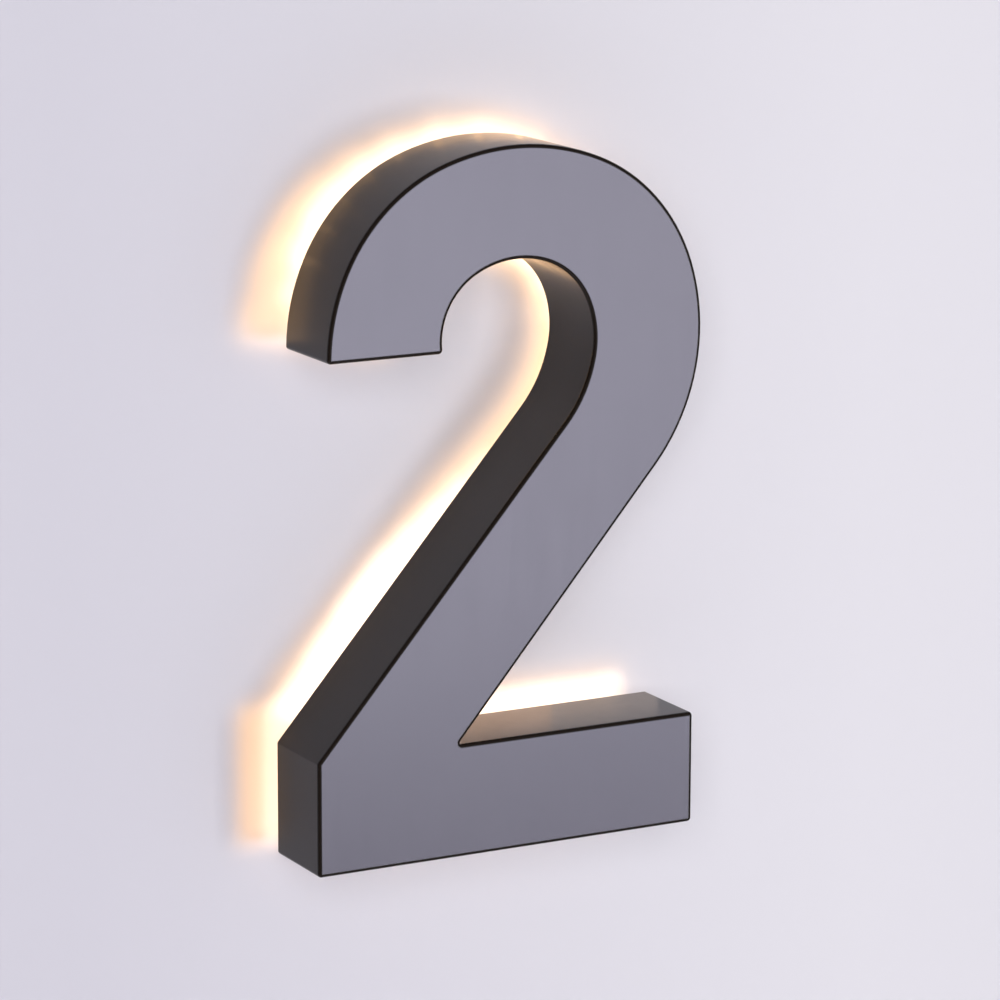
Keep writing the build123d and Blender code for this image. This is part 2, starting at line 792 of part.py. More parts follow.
save("back_panel", build_panel())
spacer_bore = stud_radius + hole_clearance
for number, (u, v) in enumerate(stud_places, start=1):
    save(f"spacer_{number}", ring_post(u, v, spacer_radius, spacer_bore, seal_thickness, panel_back))
    save(f"wall_stud_{number}", wall_stud(u, v))
seals = [ring_post(u, v, seal_radius, spacer_bore, 0, seal_thickness) for u, v in stud_places]
washers = [ring_post(u, v, washer_radius, spacer_bore, panel_front, washer_front) for u, v in stud_places]
save("wall_seals", *seals)
save("stud_washers", *washers)
save("stud_nuts", *[stud_nut(u, v) for u, v in stud_places])
save("cable_grommet", build_grommet())

stroke_modules = stroke_places()
foot_row = foot_places()
for number, (place, heading) in enumerate(stroke_modules + foot_row, start=1):
    save(f"led_housing_{number}", housing(place, heading))
    save(f"led_lens_{number}", *lenses(place, heading))
save("led_boards", *[board(place, heading) for place, heading in stroke_modules + foot_row])
save("module_tapes", *[tape(place, heading) for place, heading in stroke_modules + foot_row])
save("terminal_block", build_terminal_block(*terminal_block_place()))
save("terminal_screws", *build_terminal_screws(*terminal_block_place()))
for stretch, pairs in (("stroke", stroke_pairs(stroke_modules)), ("foot", foot_pairs(foot_row))):
    save(f"wire_red_{stretch}", *[red for red, _ in pairs])
    save(f"wire_black_{stretch}", *[black for _, black in pairs])

print(f"stud spacing {stud_spacing_x:.3f} x {stud_spacing_z:.3f}, origin at {origin_u:.3f}, {origin_v:.3f}")
print(f"slopes {outer_side.slope:.2f} {inner_side.slope:.2f}")
print(f"bowl left {bowl_left:.2f}, stroke left {stroke_left:.2f}")
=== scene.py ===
# %% [markdown]
# # A house number that is lit from behind
#
# The object is the figure 2 as a shallow can of sheet metal. Its sides are strips of black enamelled steel, and its
# front is a flat grey plate, set in flush behind the strips' rounded black lip. The can stands off the wall on four
# studs. In its back sits a sheet of opal acrylic, and the light that leaves it there makes a warm halo on the wall.
#
# Every piece is built in metres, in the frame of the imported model. X runs to the right, Z up, and Y into the wall.

# %% Load the frame
from math import atan2, cos, degrees, pi, radians, sin

import bmesh
import bpy
from mathutils import Matrix, Quaternion, Vector


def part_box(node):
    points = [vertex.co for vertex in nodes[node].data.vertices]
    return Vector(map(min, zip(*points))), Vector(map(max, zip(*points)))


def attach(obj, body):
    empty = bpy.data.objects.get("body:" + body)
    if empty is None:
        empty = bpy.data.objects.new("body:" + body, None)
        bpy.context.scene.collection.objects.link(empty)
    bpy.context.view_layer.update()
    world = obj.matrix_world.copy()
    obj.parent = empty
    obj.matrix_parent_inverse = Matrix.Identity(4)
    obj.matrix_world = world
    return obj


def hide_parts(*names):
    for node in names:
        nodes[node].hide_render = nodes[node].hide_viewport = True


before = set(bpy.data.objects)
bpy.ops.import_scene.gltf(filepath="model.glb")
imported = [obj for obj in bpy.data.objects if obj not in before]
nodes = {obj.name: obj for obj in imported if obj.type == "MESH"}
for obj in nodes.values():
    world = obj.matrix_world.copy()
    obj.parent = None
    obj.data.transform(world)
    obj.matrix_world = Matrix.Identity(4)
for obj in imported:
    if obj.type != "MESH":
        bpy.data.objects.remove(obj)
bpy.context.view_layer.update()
scene = bpy.context.scene
MM = 0.001

# %% [markdown]
# ## The camera
#
# The camera comes first, because everything after it is judged through it. It stands left of the number and a little
# above it, about 1.2 m away, behind a long lens. The values were found by fitting the outline, so they are odd numbers.

# %% Camera
aim_point = Vector((-5.72, -38.0, 16.96)) * MM
camera_distance = 1.2412
camera_azimuth = radians(-28.398)
camera_elevation = radians(12.475)
camera_roll = radians(0.188)
sensor_width = 36.0
focal_pixels = 4483.5
picture_pixels = 1000.0

level = cos(camera_elevation)
to_camera = Vector((sin(camera_azimuth) * level, -cos(camera_azimuth) * level, sin(camera_elevation)))
camera = bpy.data.objects.new("camera", bpy.data.cameras.new("camera"))
scene.collection.objects.link(camera)
camera.data.sensor_width = sensor_width
camera.data.lens = focal_pixels / picture_pixels * sensor_width
camera.location = aim_point + to_camera * camera_distance
camera.rotation_mode = "QUATERNION"
upright = (-to_camera).to_track_quat("-Z", "Y")
camera.rotation_quaternion = upright @ Quaternion((0, 0, 1), camera_roll)
scene.camera = camera
print(f"lens {camera.data.lens:.1f} mm")

# %% [markdown]
# ## Short helpers for node trees
#
# Materials and geometry are both written as node trees. `add` puts in one node, sets its options and fills its inputs,
# either with plain values or with the outputs of earlier nodes. `group` starts a tree of its own with named inputs and
# outputs, so that several materials or pieces can share it with different values. The others each write one kind of
# node that is needed again and again.


# %% Helpers for node trees
def fill(tree, node, inputs):
    """Sets or links a node's inputs by name or number."""
    for key, value in inputs.items():
        if isinstance(value, bpy.types.NodeSocket):
            tree.links.new(value, node.inputs[key])
        else:
            node.inputs[key].default_value = value
    return node


def add(tree, kind, inputs=None, **options):
    """Adds a node, sets its options, and fills its inputs."""
    node = tree.nodes.new(kind)
    for option, value in options.items():
        setattr(node, option, value)
    return fill(tree, node, inputs or {})


def group(name, kind, inputs, outputs):
    """Starts a tree with named inputs as (name, socket type, default) and outputs as (name, socket type)."""
    tree = bpy.data.node_groups.new(name, kind)
    for label, socket_type, default in inputs:
        socket = tree.interface.new_socket(name=label, in_out="INPUT", socket_type=socket_type)
        if default is not None:
            socket.default_value = default
    for label, socket_type in outputs:
        tree.interface.new_socket(name=label, in_out="OUTPUT", socket_type=socket_type)
    return tree, tree.nodes.new("NodeGroupInput").outputs, tree.nodes.new("NodeGroupOutput").inputs


def calc(tree, operation, one, other=0.0, **options):
    """Output of one step of arithmetic."""
    return add(tree, "ShaderNodeMath", {0: one, 1: other}, operation=operation, **options).outputs[0]


def ranged(tree, value, low, high, to=(0.0, 1.0)):
    """Output of a value moved from one range to another, and held inside it."""
    inputs = {"Value": value, "From Min": low, "From Max": high, "To Min": to[0], "To Max": to[1]}
    return add(tree, "ShaderNodeMapRange", inputs).outputs[0]


def object_place(tree):
    """Output of the place on the object, in its own coordinates."""
    return add(tree, "ShaderNodeTexCoord").outputs["Object"]


def cloud(tree, scale, detail, place=None, **more):
    """Output of a noise of so many waves per metre."""
    inputs = {"Vector": place or object_place(tree), "Scale": scale, "Detail": detail, **more}
    return add(tree, "ShaderNodeTexNoise", inputs).outputs["Fac"]


def blended(tree, share, one, other):
    """Output of a blend of two colours."""
    return add(tree, "ShaderNodeMix", {"Factor": share, 6: one, 7: other}, data_type="RGBA").outputs[2]


def bump(tree, height, distance):
    """Output of a normal that follows a relief so many metres high."""
    return add(tree, "ShaderNodeBump", {"Height": height, "Distance": distance, "Strength": 1.0}).outputs[0]


# %% [markdown]
# ## Surface effects that several materials share
#
# A real finish is never one flat value. Three effects are used again and again here, so each is a shader group with its
# own inputs: a fine grain that roughens paint and plastic, faint cloudy marks that change how a surface shines, and
# dust that settles where a surface faces up.


# %% Shared effect: grain
def build_grain():
    """Fine relief and a slight change of tone, as on sprayed enamel or a moulded skin."""
    tree, given, put = group(
        "grain",
        "ShaderNodeTree",
        [("Size", "NodeSocketFloat", 0.0004), ("Tone Change", "NodeSocketFloat", 0.05)],
        [("Height", "NodeSocketFloat"), ("Tone", "NodeSocketFloat")],
    )
    relief = cloud(tree, calc(tree, "DIVIDE", 1.0, given["Size"]), 3.0, Roughness=0.6)
    swing = calc(tree, "MULTIPLY", calc(tree, "SUBTRACT", relief, 0.5), given["Tone Change"])
    tree.links.new(relief, put["Height"])
    tree.links.new(calc(tree, "ADD", swing, 1.0), put["Tone"])
    return tree


grain = build_grain()


# %% Shared effect: cloudy marks
def build_marks():
    """Cloudy patches a few centimetres wide with fine streaks in them, from wiping and handling."""
    tree, given, put = group(
        "marks",
        "ShaderNodeTree",
        [("Patch Size", "NodeSocketFloat", 0.03), ("Low", "NodeSocketFloat", 0.3), ("High", "NodeSocketFloat", 0.4)],
        [("Roughness", "NodeSocketFloat")],
    )
    scale = calc(tree, "DIVIDE", 1.0, given["Patch Size"])
    patches = cloud(tree, scale, 5.0, Distortion=0.6)
    wiping = {"Vector": object_place(tree), "Rotation": (0.0, 0.5, 0.0), "Scale": (9, 9, 1)}
    streaks = cloud(tree, scale, 4.0, add(tree, "ShaderNodeMapping", wiping).outputs[0])
    both = calc(tree, "ADD", patches, streaks)
    tree.links.new(ranged(tree, both, 0.75, 1.25, (given["Low"], given["High"])), put["Roughness"])
    return tree


marks = build_marks()


# %% Shared effect: dust
def build_dust():
    """A mask of settled dust: strongest on faces that look up, broken into specks and drifts."""
    tree, given, put = group(
        "dust",
        "ShaderNodeTree",
        [("Amount", "NodeSocketFloat", 0.3), ("Speck Size", "NodeSocketFloat", 0.0006)],
        [("Mask", "NodeSocketFloat")],
    )
    normal = add(tree, "ShaderNodeNewGeometry").outputs["Normal"]
    facing_up = ranged(tree, add(tree, "ShaderNodeSeparateXYZ", {0: normal}).outputs["Z"], 0.35, 1.0)
    specks = cloud(tree, calc(tree, "DIVIDE", 1.0, given["Speck Size"]), 2.0)
    drifts = cloud(tree, 60.0, 3.0)
    broken = calc(tree, "MULTIPLY", ranged(tree, specks, 0.5, 0.7), drifts)
    lying = calc(tree, "MULTIPLY", broken, facing_up)
    tree.links.new(calc(tree, "MULTIPLY", lying, given["Amount"], use_clamp=True), put["Mask"])
    return tree


dust = build_dust()
print("shader groups:", [tree.name for tree in (grain, marks, dust)])


# %% [markdown]
# ## A pattern for the solid finishes
#
# Enamel, plastic, rubber and metal differ in colour, shine and grain, but are put together alike: the grain feeds a
# bump and the tone, the marks feed the roughness, and dust lightens what faces up. `finish` builds that for one
# material. Whatever is the same all over a surface stays a plain number on the shader.


# %% Finish
def principled(name):
    """New material with a Principled shader, as (material, tree, shader)."""
    material = bpy.data.materials.new(name)
    material.use_nodes = True
    tree = material.node_tree
    return material, tree, tree.nodes["Principled BSDF"]


def marked(tree, rough, patch=0.03):
    """Output of a roughness between two values, with cloudy marks of a size."""
    inputs = {"Patch Size": patch, "Low": rough[0], "High": rough[1]}
    return add(tree, "ShaderNodeGroup", inputs, node_tree=marks).outputs["Roughness"]


def dusted(tree, color, amount, dust_color):
    """Output of a colour with dust on what faces up."""
    settled = add(tree, "ShaderNodeGroup", {"Amount": amount}, node_tree=dust)
    return blended(tree, settled.outputs["Mask"], color, dust_color)


def finish(name, color, rough, grain_size, relief, tone=0.06, metallic=0.0, dusty=0.15, patch=0.03, ior=1.5):
    """Solid finish: color, lowest and highest roughness, size of the grain and the height of its relief."""
    material, tree, shader = principled(name)
    fine = add(tree, "ShaderNodeGroup", {"Size": grain_size, "Tone Change": tone}, node_tree=grain).outputs
    toned = add(tree, "ShaderNodeVectorMath", {0: color, 1: fine["Tone"]}, operation="MULTIPLY").outputs[0]
    surface = {
        "Base Color": dusted(tree, toned, dusty, (0.62, 0.6, 0.58, 1.0)),
        "Roughness": marked(tree, rough, patch),
        "Normal": bump(tree, fine["Height"], relief),
        "Metallic": metallic,
        "IOR": ior,
    }
    fill(tree, shader, surface)
    return material


# %% Painted and moulded finishes
face_grey = finish("face_grey", (0.3, 0.292, 0.358), (0.16, 0.2), 0.00012, 1e-6, tone=0.03, metallic=0.8, dusty=0.0)
black_enamel = finish("black_enamel", (0.01, 0.006, 0.004), (0.2, 0.24), 0.0012, 1e-6, dusty=0.02, ior=1.34)
lining_white = finish("lining_white", (0.78, 0.78, 0.76), (0.3, 0.4), 0.0012, 5e-6)
moulded_white = finish("moulded_white", (0.72, 0.72, 0.7), (0.38, 0.5), 0.0003, 8e-6)
connector_ivory = finish("connector_ivory", (0.66, 0.63, 0.54), (0.4, 0.55), 0.0006, 1e-5, tone=0.1)
soft_rubber = finish("soft_rubber", (0.018, 0.018, 0.019), (0.6, 0.8), 0.0002, 2e-5, tone=0.3, dusty=0.4)
insulation_red = finish("insulation_red", (0.5, 0.02, 0.018), (0.3, 0.42), 0.0008, 6e-6, tone=0.15)
insulation_black = finish("insulation_black", (0.016, 0.016, 0.018), (0.3, 0.42), 0.0008, 6e-6, tone=0.15)

# %% [markdown]
# ## Metal that a tool has left its marks on
#
# Turned and milled metal carries fine parallel lines, and they matter more to the eye than its colour does. One group
# makes them, along whichever axis the tool went. Bare metal then differs only in colour, line width and roughness.


# %% Shared effect: tool lines
def build_tool_lines():
    """Fine uneven lines square to an axis, as a relief and a mask."""
    tree, given, put = group(
        "tool_lines",
        "ShaderNodeTree",
        [("Axis Stretch", "NodeSocketVector", (0.02, 1.0, 0.02)), ("Line Width", "NodeSocketFloat", 0.00015)],
        [("Height", "NodeSocketFloat"), ("Mask", "NodeSocketFloat")],
    )
    stretch = {0: object_place(tree), 1: given["Axis Stretch"]}
    stretched = add(tree, "ShaderNodeVectorMath", stretch, operation="MULTIPLY").outputs[0]
    lines = cloud(tree, calc(tree, "DIVIDE", 1.0, given["Line Width"]), 2.0, stretched)
    tree.links.new(lines, put["Height"])
    tree.links.new(ranged(tree, lines, 0.35, 0.65), put["Mask"])
    return tree


tool_lines = build_tool_lines()


def metal(name, bright, dull, stretch, rough, width=0.00015, relief=4e-6, spots=0.004):
    """Bare or plated metal: tool lines in its relief, and cloudy spots between a bright and a dull tone."""
    material, tree, shader = principled(name)
    along_tool = {"Axis Stretch": stretch, "Line Width": width}
    lines = add(tree, "ShaderNodeGroup", along_tool, node_tree=tool_lines).outputs
    toned = blended(tree, lines["Mask"], (*bright, 1), (*dull, 1))
    surface = {
        "Base Color": dusted(tree, toned, 0.2, (0.5, 0.48, 0.46, 1)),
        "Roughness": marked(tree, rough, spots),
        "Normal": bump(tree, lines["Height"], relief),
        "Metallic": 1.0,
    }
    fill(tree, shader, surface)
    return material


# %% Metals
along_y, along_z = (0.02, 1.0, 0.02), (0.02, 0.02, 1.0)
zinc_plate = metal("zinc_plate", (0.62, 0.62, 0.6), (0.5, 0.51, 0.53), along_y, (0.26, 0.46), spots=0.0015)
turned_aluminium = metal("turned_aluminium", (0.74, 0.74, 0.75), (0.62, 0.62, 0.64), along_y, (0.22, 0.34))
milled_aluminium = metal("milled_aluminium", (0.72, 0.72, 0.73), (0.58, 0.58, 0.6), along_z, (0.28, 0.4))
screw_brass = metal("screw_brass", (0.72, 0.5, 0.2), (0.6, 0.4, 0.15), along_y, (0.22, 0.4), spots=0.001)

# %% [markdown]
# ## Finishes that hold light
#
# The opal sheet, the lenses and the chips glow, so they need shaders of their own. Opal acrylic is cloudy inside: light
# spreads in it, so its glow only changes softly, between two warm tones. The glow's strength is one plain number each,
# and its colour carries what varies. The foam tape is the last one, a soft surface full of cut cells.


# %% Opal sheet, lens, board and foam
def glowing(name, color, glow, strength, rough, patch, transmission=0.0):
    """Surface lit from inside: its glow changes softly between two tones over patches of a size."""
    material, tree, shader = principled(name)
    share = ranged(tree, cloud(tree, 1.0 / patch, 1.0), 0.35, 0.65)
    fine = add(tree, "ShaderNodeGroup", {"Size": 0.0008}, node_tree=grain).outputs
    surface = {
        "Base Color": (*color, 1),
        "Emission Color": blended(tree, share, (*glow[0], 1), (*glow[1], 1)),
        "Emission Strength": strength,
        "Roughness": marked(tree, rough),
        "Normal": bump(tree, fine["Height"], 3e-6),
        "Transmission Weight": transmission,
        "IOR": 1.49,
    }
    fill(tree, shader, surface)
    return material


warm = ((1.0, 0.74, 0.44), (1.0, 0.8, 0.54))
opal_glow = glowing("opal_glow", (0.55, 0.53, 0.5), warm, 0.25, (0.2, 0.32), 0.012)
lens_glow = glowing("lens_glow", (0.95, 0.93, 0.88), warm, 1.6, (0.06, 0.12), 0.002, transmission=0.5)


def build_board_and_chips():
    """White circuit board. What stands above the board is a light chip, so it is phosphor yellow and glows."""
    material, tree, shader = principled("board_and_chips")
    depth = add(tree, "ShaderNodeSeparateXYZ", {0: object_place(tree)}).outputs["Y"]
    above = calc(tree, "LESS_THAN", depth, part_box("led_boards")[0].y + 0.5 * MM)
    fine = add(tree, "ShaderNodeGroup", {"Size": 0.0002}, node_tree=grain).outputs
    surface = {
        "Base Color": blended(tree, above, (0.7, 0.7, 0.68, 1), (0.8, 0.62, 0.12, 1)),
        "Emission Color": blended(tree, above, (0, 0, 0, 1), (1.0, 0.7, 0.36, 1)),
        "Emission Strength": 2.0,
        "Roughness": 0.4,
        "Normal": bump(tree, fine["Height"], 5e-6),
    }
    fill(tree, shader, surface)
    return material


def build_foam_cells():
    """Closed-cell foam: cells cut open in a pale grey skin, each darker towards its hollow middle as painted shade."""
    material, tree, shader = principled("foam_cells")
    size = {"Vector": object_place(tree), "Scale": 4000.0}
    cells = add(tree, "ShaderNodeTexVoronoi", size, feature="DISTANCE_TO_EDGE").outputs[0]
    # Painted shade: the colour darkens from each cell's edge into its hollow, where shade falls.
    share = ranged(tree, cells, 0.0, 0.3)
    surface = {
        "Base Color": blended(tree, share, (0.34, 0.34, 0.35, 1), (0.16, 0.16, 0.17, 1)),
        "Roughness": 0.9,
        "Normal": bump(tree, cells, -4e-5),
    }
    fill(tree, shader, surface)
    return material


board_and_chips = build_board_and_chips()
foam_cells = build_foam_cells()
print(len(bpy.data.materials), "materials")

# %% [markdown]
# ## Helpers for pieces
#
# A piece is finished in one of two ways. Where the modelled shape is right, a merged copy gets clean smooth shading
# and, where light should catch an edge, a narrow bevel. Where the shape follows a rule, a geometry tree makes it.


# %% Merged copies
def linked_object(name, mesh):
    """New object with a mesh, at the origin, in the scene."""
    piece = bpy.data.objects.new(name, mesh)
    scene.collection.objects.link(piece)
    return piece


def merged_mesh(*node_names):
    """One bmesh of these nodes, with doubles merged and flat stretches dissolved to whole faces."""
    work = bmesh.new()
    for node_name in node_names:
        work.from_mesh(nodes[node_name].data)
    bmesh.ops.remove_doubles(work, verts=work.verts, dist=1e-6)
    bmesh.ops.dissolve_limit(work, angle_limit=radians(0.2), verts=work.verts, edges=work.edges)
    return work


def nearest_solid(node_name, place):
    """Merged bmesh of the one solid of a node whose middle is nearest to a place."""
    work = merged_mesh(node_name)
    waiting, solids = set(work.verts), []
    while waiting:
        solid, front = [], [waiting.pop()]
        while front:
            vertex = front.pop()
            solid.append(vertex)
            beside = {edge.other_vert(vertex) for edge in vertex.link_edges} & waiting
            waiting -= beside
            front += beside
        solids.append(solid)

    def off(solid):
        middle = sum((vertex.co for vertex in solid), Vector()) / len(solid)
        return (middle - place).length

    solids.sort(key=off)
    bmesh.ops.delete(work, geom=[vertex for solid in solids[1:] for vertex in solid], context="VERTS")
    return work


def apply_modifiers(piece):
    """Bakes a piece's modifiers into its mesh."""
    depsgraph = bpy.context.evaluated_depsgraph_get()
    mesh = bpy.data.meshes.new_from_object(piece.evaluated_get(depsgraph))
    piece.modifiers.clear()
    piece.data = mesh
    return piece


def carve(piece, cutter):
    """Takes another object's shape out of a piece, and the other object out of the scene."""
    cutting = piece.modifiers.new("cut", "BOOLEAN")
    cutting.operation = "DIFFERENCE"
    cutting.solver = "EXACT"
    cutting.object = cutter
    apply_modifiers(piece)
    bpy.data.objects.remove(cutter)
    return piece


def round_bar(name, start, end, radius, sides=48):
    """Plain round bar from one point to another."""
    work = bmesh.new()
    bmesh.ops.create_cone(work, cap_ends=True, segments=sides, radius1=radius, radius2=radius, depth=1.0)
    run = end - start
    turn = run.to_track_quat("Z", "Y").to_matrix().to_4x4()
    stretch = Matrix.Diagonal((1, 1, run.length, 1))
    work.transform(Matrix.Translation((start + end) / 2) @ turn @ stretch)
    mesh = bpy.data.meshes.new(name)
    work.to_mesh(mesh)
    work.free()
    return linked_object(name, mesh)


def smooth_shaded(piece, bevel=0.0, sharp=35.0):
    """Smooth shading with crisp edges, after a narrow bevel on the edges that are sharper than an angle."""
    for polygon in piece.data.polygons:
        polygon.use_smooth = True
    if bevel:
        rounding = piece.modifiers.new("bevel", "BEVEL")
        rounding.width = bevel
        rounding.segments = 2
        rounding.limit_method = "ANGLE"
        rounding.angle_limit = radians(sharp)
    piece.data.set_sharp_from_angle(angle=radians(sharp))
    weighted = piece.modifiers.new("weighted", "WEIGHTED_NORMAL")
    weighted.keep_sharp = not bevel
    return apply_modifiers(piece)


def keep(piece, body, slot, *replaced):
    """Says which body a piece rides on and which nodes it stands for, which it hides. Its slot is not used."""
    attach(piece, body)
    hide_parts(*replaced)
    triangles = sum(len(polygon.vertices) - 2 for polygon in piece.data.polygons)
    print(f"{piece.name}: {triangles} triangles for {', '.join(replaced)}")
    return piece


# %% [markdown]
# ## The side strips
#
# The sides are strips of 1 mm steel, 26 mm deep, bent to the figure's outline. In front each strip ends in a rounded
# lip, which shows as the thin black line round the grey face. One section is the same all along, so a sweep makes it:
# the tree below draws the section once, rounds its lip, and carries it along an outline. It could be modelled by hand,
# but then a thicker wall or a rounder lip would mean modelling it again, and here each is one number.


# %% Tree: strip along an outline
def build_strip_tree():
    """A rectangle with a rounded lip, swept along an outline whose metal lies on its left."""
    tree, given, put = group(
        "strip",
        "GeometryNodeTree",
        [
            ("Outline", "NodeSocketObject", None),
            ("Depth", "NodeSocketFloat", 0.026),
            ("Wall", "NodeSocketFloat", 0.001),
            ("Lip Radius", "NodeSocketFloat", 0.0009),
            ("Edge Radius", "NodeSocketFloat", 0.0001),
            ("Outside", "NodeSocketMaterial", None),
            ("Lining", "NodeSocketMaterial", None),
        ],
        [("Geometry", "NodeSocketGeometry")],
    )
    outline = add(tree, "GeometryNodeObjectInfo", {"Object": given["Outline"]})
    path = add(tree, "GeometryNodeMeshToCurve", {"Mesh": outline.outputs["Geometry"]})
    turned = add(
        tree,
        "GeometryNodeSetCurveNormal",
        {"Curve": path.outputs[0], "Normal": (0.0, -1.0, 0.0)},
        mode="FREE",
    )
    section = add(
        tree,
        "GeometryNodeCurvePrimitiveQuadrilateral",
        {"Width": given["Depth"], "Height": given["Wall"]},
        mode="RECTANGLE",
    )
    corner = add(tree, "GeometryNodeInputIndex").outputs[0]
    is_lip = add(tree, "FunctionNodeCompare", {2: corner, 3: 0}, data_type="INT", operation="EQUAL").outputs[0]
    radius = add(
        tree,
        "GeometryNodeSwitch",
        {"Switch": is_lip, "False": given["Edge Radius"], "True": given["Lip Radius"]},
        input_type="FLOAT",
    )
    rounded = add(
        tree,
        "GeometryNodeFilletCurve",
        {"Curve": section.outputs[0], "Count": 8, "Radius": radius.outputs[0], "Limit Radius": True},
        mode="POLY",
    )
    half = {"X": calc(tree, "MULTIPLY", given["Depth"], 0.5), "Y": calc(tree, "MULTIPLY", given["Wall"], -0.5)}
    shift = add(tree, "ShaderNodeCombineXYZ", half).outputs[0]
    placed = add(tree, "GeometryNodeTransform", {"Geometry": rounded.outputs[0], "Translation": shift})
    across = add(tree, "ShaderNodeSeparateXYZ", {0: add(tree, "GeometryNodeInputPosition").outputs[0]}).outputs["Y"]
    inner_skin = calc(tree, "SUBTRACT", 0.01 * MM, given["Wall"])
    on_inner = add(tree, "FunctionNodeCompare", {0: across, 1: inner_skin}, operation="LESS_THAN").outputs[0]
    marked = add(
        tree,
        "GeometryNodeStoreNamedAttribute",
        {"Geometry": placed.outputs[0], "Name": "lining", "Value": on_inner},
        data_type="BOOLEAN",
        domain="POINT",
    )
    swept = add(
        tree,
        "GeometryNodeCurveToMesh",
        {"Curve": turned.outputs[0], "Profile Curve": marked.outputs[0], "Fill Caps": True},
    )
    smooth = add(tree, "GeometryNodeSetShadeSmooth", {"Geometry": swept.outputs[0]})
    real = add(tree, "GeometryNodeRealizeInstances", {"Geometry": smooth.outputs[0]})
    painted = add(
        tree,
        "GeometryNodeSetMaterial",
        {"Geometry": real.outputs[0], "Material": given["Outside"]},
    )
    lining = add(tree, "GeometryNodeInputNamedAttribute", {"Name": "lining"}, data_type="BOOLEAN").outputs[0]
    lined = add(
        tree,
        "GeometryNodeSetMaterial",
        {"Geometry": painted.outputs[0], "Selection": lining, "Material": given["Lining"]},
    )
    tree.links.new(lined.outputs[0], put["Geometry"])
    return tree


strip_tree = build_strip_tree()


def run_tree(tree, name, inputs):
    """Runs a geometry tree with these inputs and returns its result as a plain mesh object."""
    piece = linked_object(name, bpy.data.meshes.new(name))
    maker = piece.modifiers.new("make", "NODES")
    maker.node_group = tree
    for item in tree.interface.items_tree:
        if item.in_out == "INPUT" and item.name in inputs:
            maker[item.identifier] = inputs[item.name]
    return apply_modifiers(piece)


# %% [markdown]
# The outline that a strip follows is read from its own model: on the strip's rear face it is the long edge that is not
# also the face plate's edge.


# %% Outlines from the frame
wall_gap = -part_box("return_base")[1].y
strip_depth = -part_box("return_base")[0].y - wall_gap
strip_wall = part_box("face_plate")[0].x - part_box("return_base")[0].x
print(f"strips start {wall_gap / MM:.1f} mm off the wall, {strip_depth / MM:.1f} deep, {strip_wall / MM:.2f} thick")


def flat(point):
    """The point as seen from the front."""
    return Vector((point.x, point.z))


def plate_edges():
    """The face plate's edge as pairs of points seen from the front."""
    work = merged_mesh("face_plate")
    front = min(work.faces, key=lambda face: face.calc_center_median().y)
    edge = [(flat(e.verts[0].co), flat(e.verts[1].co)) for e in front.edges]
    work.free()
    return edge


def distance_to(edges, point):
    """Distance from a point to the nearest of some edges."""
    nearest = []
    for start, end in edges:
        run = end - start
        share = min(1.0, max(0.0, (point - start).dot(run) / run.length_squared))
        nearest.append((start + run * share - point).length)
    return min(nearest)


def chained(pairs):
    """Edges given as pairs of vertices, put in a row from one open end to the other."""
    neighbours = {}
    for start, end in pairs:
        neighbours.setdefault(start, []).append(end)
        neighbours.setdefault(end, []).append(start)
    row = [next(vertex for vertex, beside in neighbours.items() if len(beside) == 1)]
    while True:
        ahead = [vertex for vertex in neighbours[row[-1]] if len(row) < 2 or vertex is not row[-2]]
        if not ahead:
            return row
        row.append(ahead[0])


def strip_outline(node_name, plate):
    """Outline of a strip's outside at its rear edge, with the metal on its left as seen from the front."""
    work = merged_mesh(node_name)
    rear = max((face for face in work.faces if face.normal.y > 0.99), key=lambda face: face.calc_area())
    pairs = []
    for edge in rear.edges:
        ends = [flat(vertex.co) for vertex in edge.verts]
        off_plate = min(distance_to(plate, end) for end in (*ends, (ends[0] + ends[1]) / 2))
        if off_plate > strip_wall / 2:
            pairs.append(edge.verts)
    row = [vertex.co.copy() for vertex in chained(pairs)]
    start, end = row[len(row) // 2], row[len(row) // 2 + 1]
    run = (end - start).normalized()
    left = (start + end) / 2 + Vector((-run.z, 0, run.x)) * strip_wall
    if distance_to(plate, flat(left)) > strip_wall / 2:
        row.reverse()
    work.free()
    mesh = bpy.data.meshes.new(node_name + "_outline")
    mesh.from_pydata(row, [(index, index + 1) for index in range(len(row) - 1)], [])
    return linked_object(node_name + "_outline", mesh)


# %% Strips
def lowest_and_highest(piece):
    """Corners of a piece's box."""
    points = [vertex.co for vertex in piece.data.vertices]
    return (Vector(map(min, *points)), Vector(map(max, *points)))


plate = plate_edges()
lock_low, lock_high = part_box("lock_screw_1")
lock_radius = (lock_high.x - lock_low.x) / 2
lip_radius = 0.9 * MM
hole_reach = 2 * MM
hole_clearance = 0.15 * MM
lock_holes = {"return_base": (1, 2), "return_terminal": (3,)}
for strip_name in ("return_outer", "return_inner", "return_base", "return_terminal"):
    outline = strip_outline(strip_name, plate)
    sizes = {"Depth": strip_depth, "Wall": strip_wall, "Lip Radius": lip_radius}
    finish_of = {"Outside": black_enamel, "Lining": lining_white}
    strip = run_tree(strip_tree, strip_name.replace("return", "strip"), {"Outline": outline, **sizes, **finish_of})
    bpy.data.objects.remove(outline)
    for number in lock_holes.get(strip_name, ()):
        low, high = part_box(f"lock_screw_{number}")
        middle = (low + high) / 2
        below = Vector((middle.x, middle.y, low.z - hole_reach))
        above = Vector((middle.x, middle.y, low.z + hole_reach))
        carve(strip, round_bar("hole", below, above, lock_radius + hole_clearance))
    smooth_shaded(strip, sharp=40.0)
    corners = lowest_and_highest(strip)
    off = max((mine - theirs).length for mine, theirs in zip(corners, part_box(strip_name)))
    print(f"{strip_name}: box within {off / MM:.3f} mm of the model's")
    keep(strip, "shell", "black_gloss", strip_name)

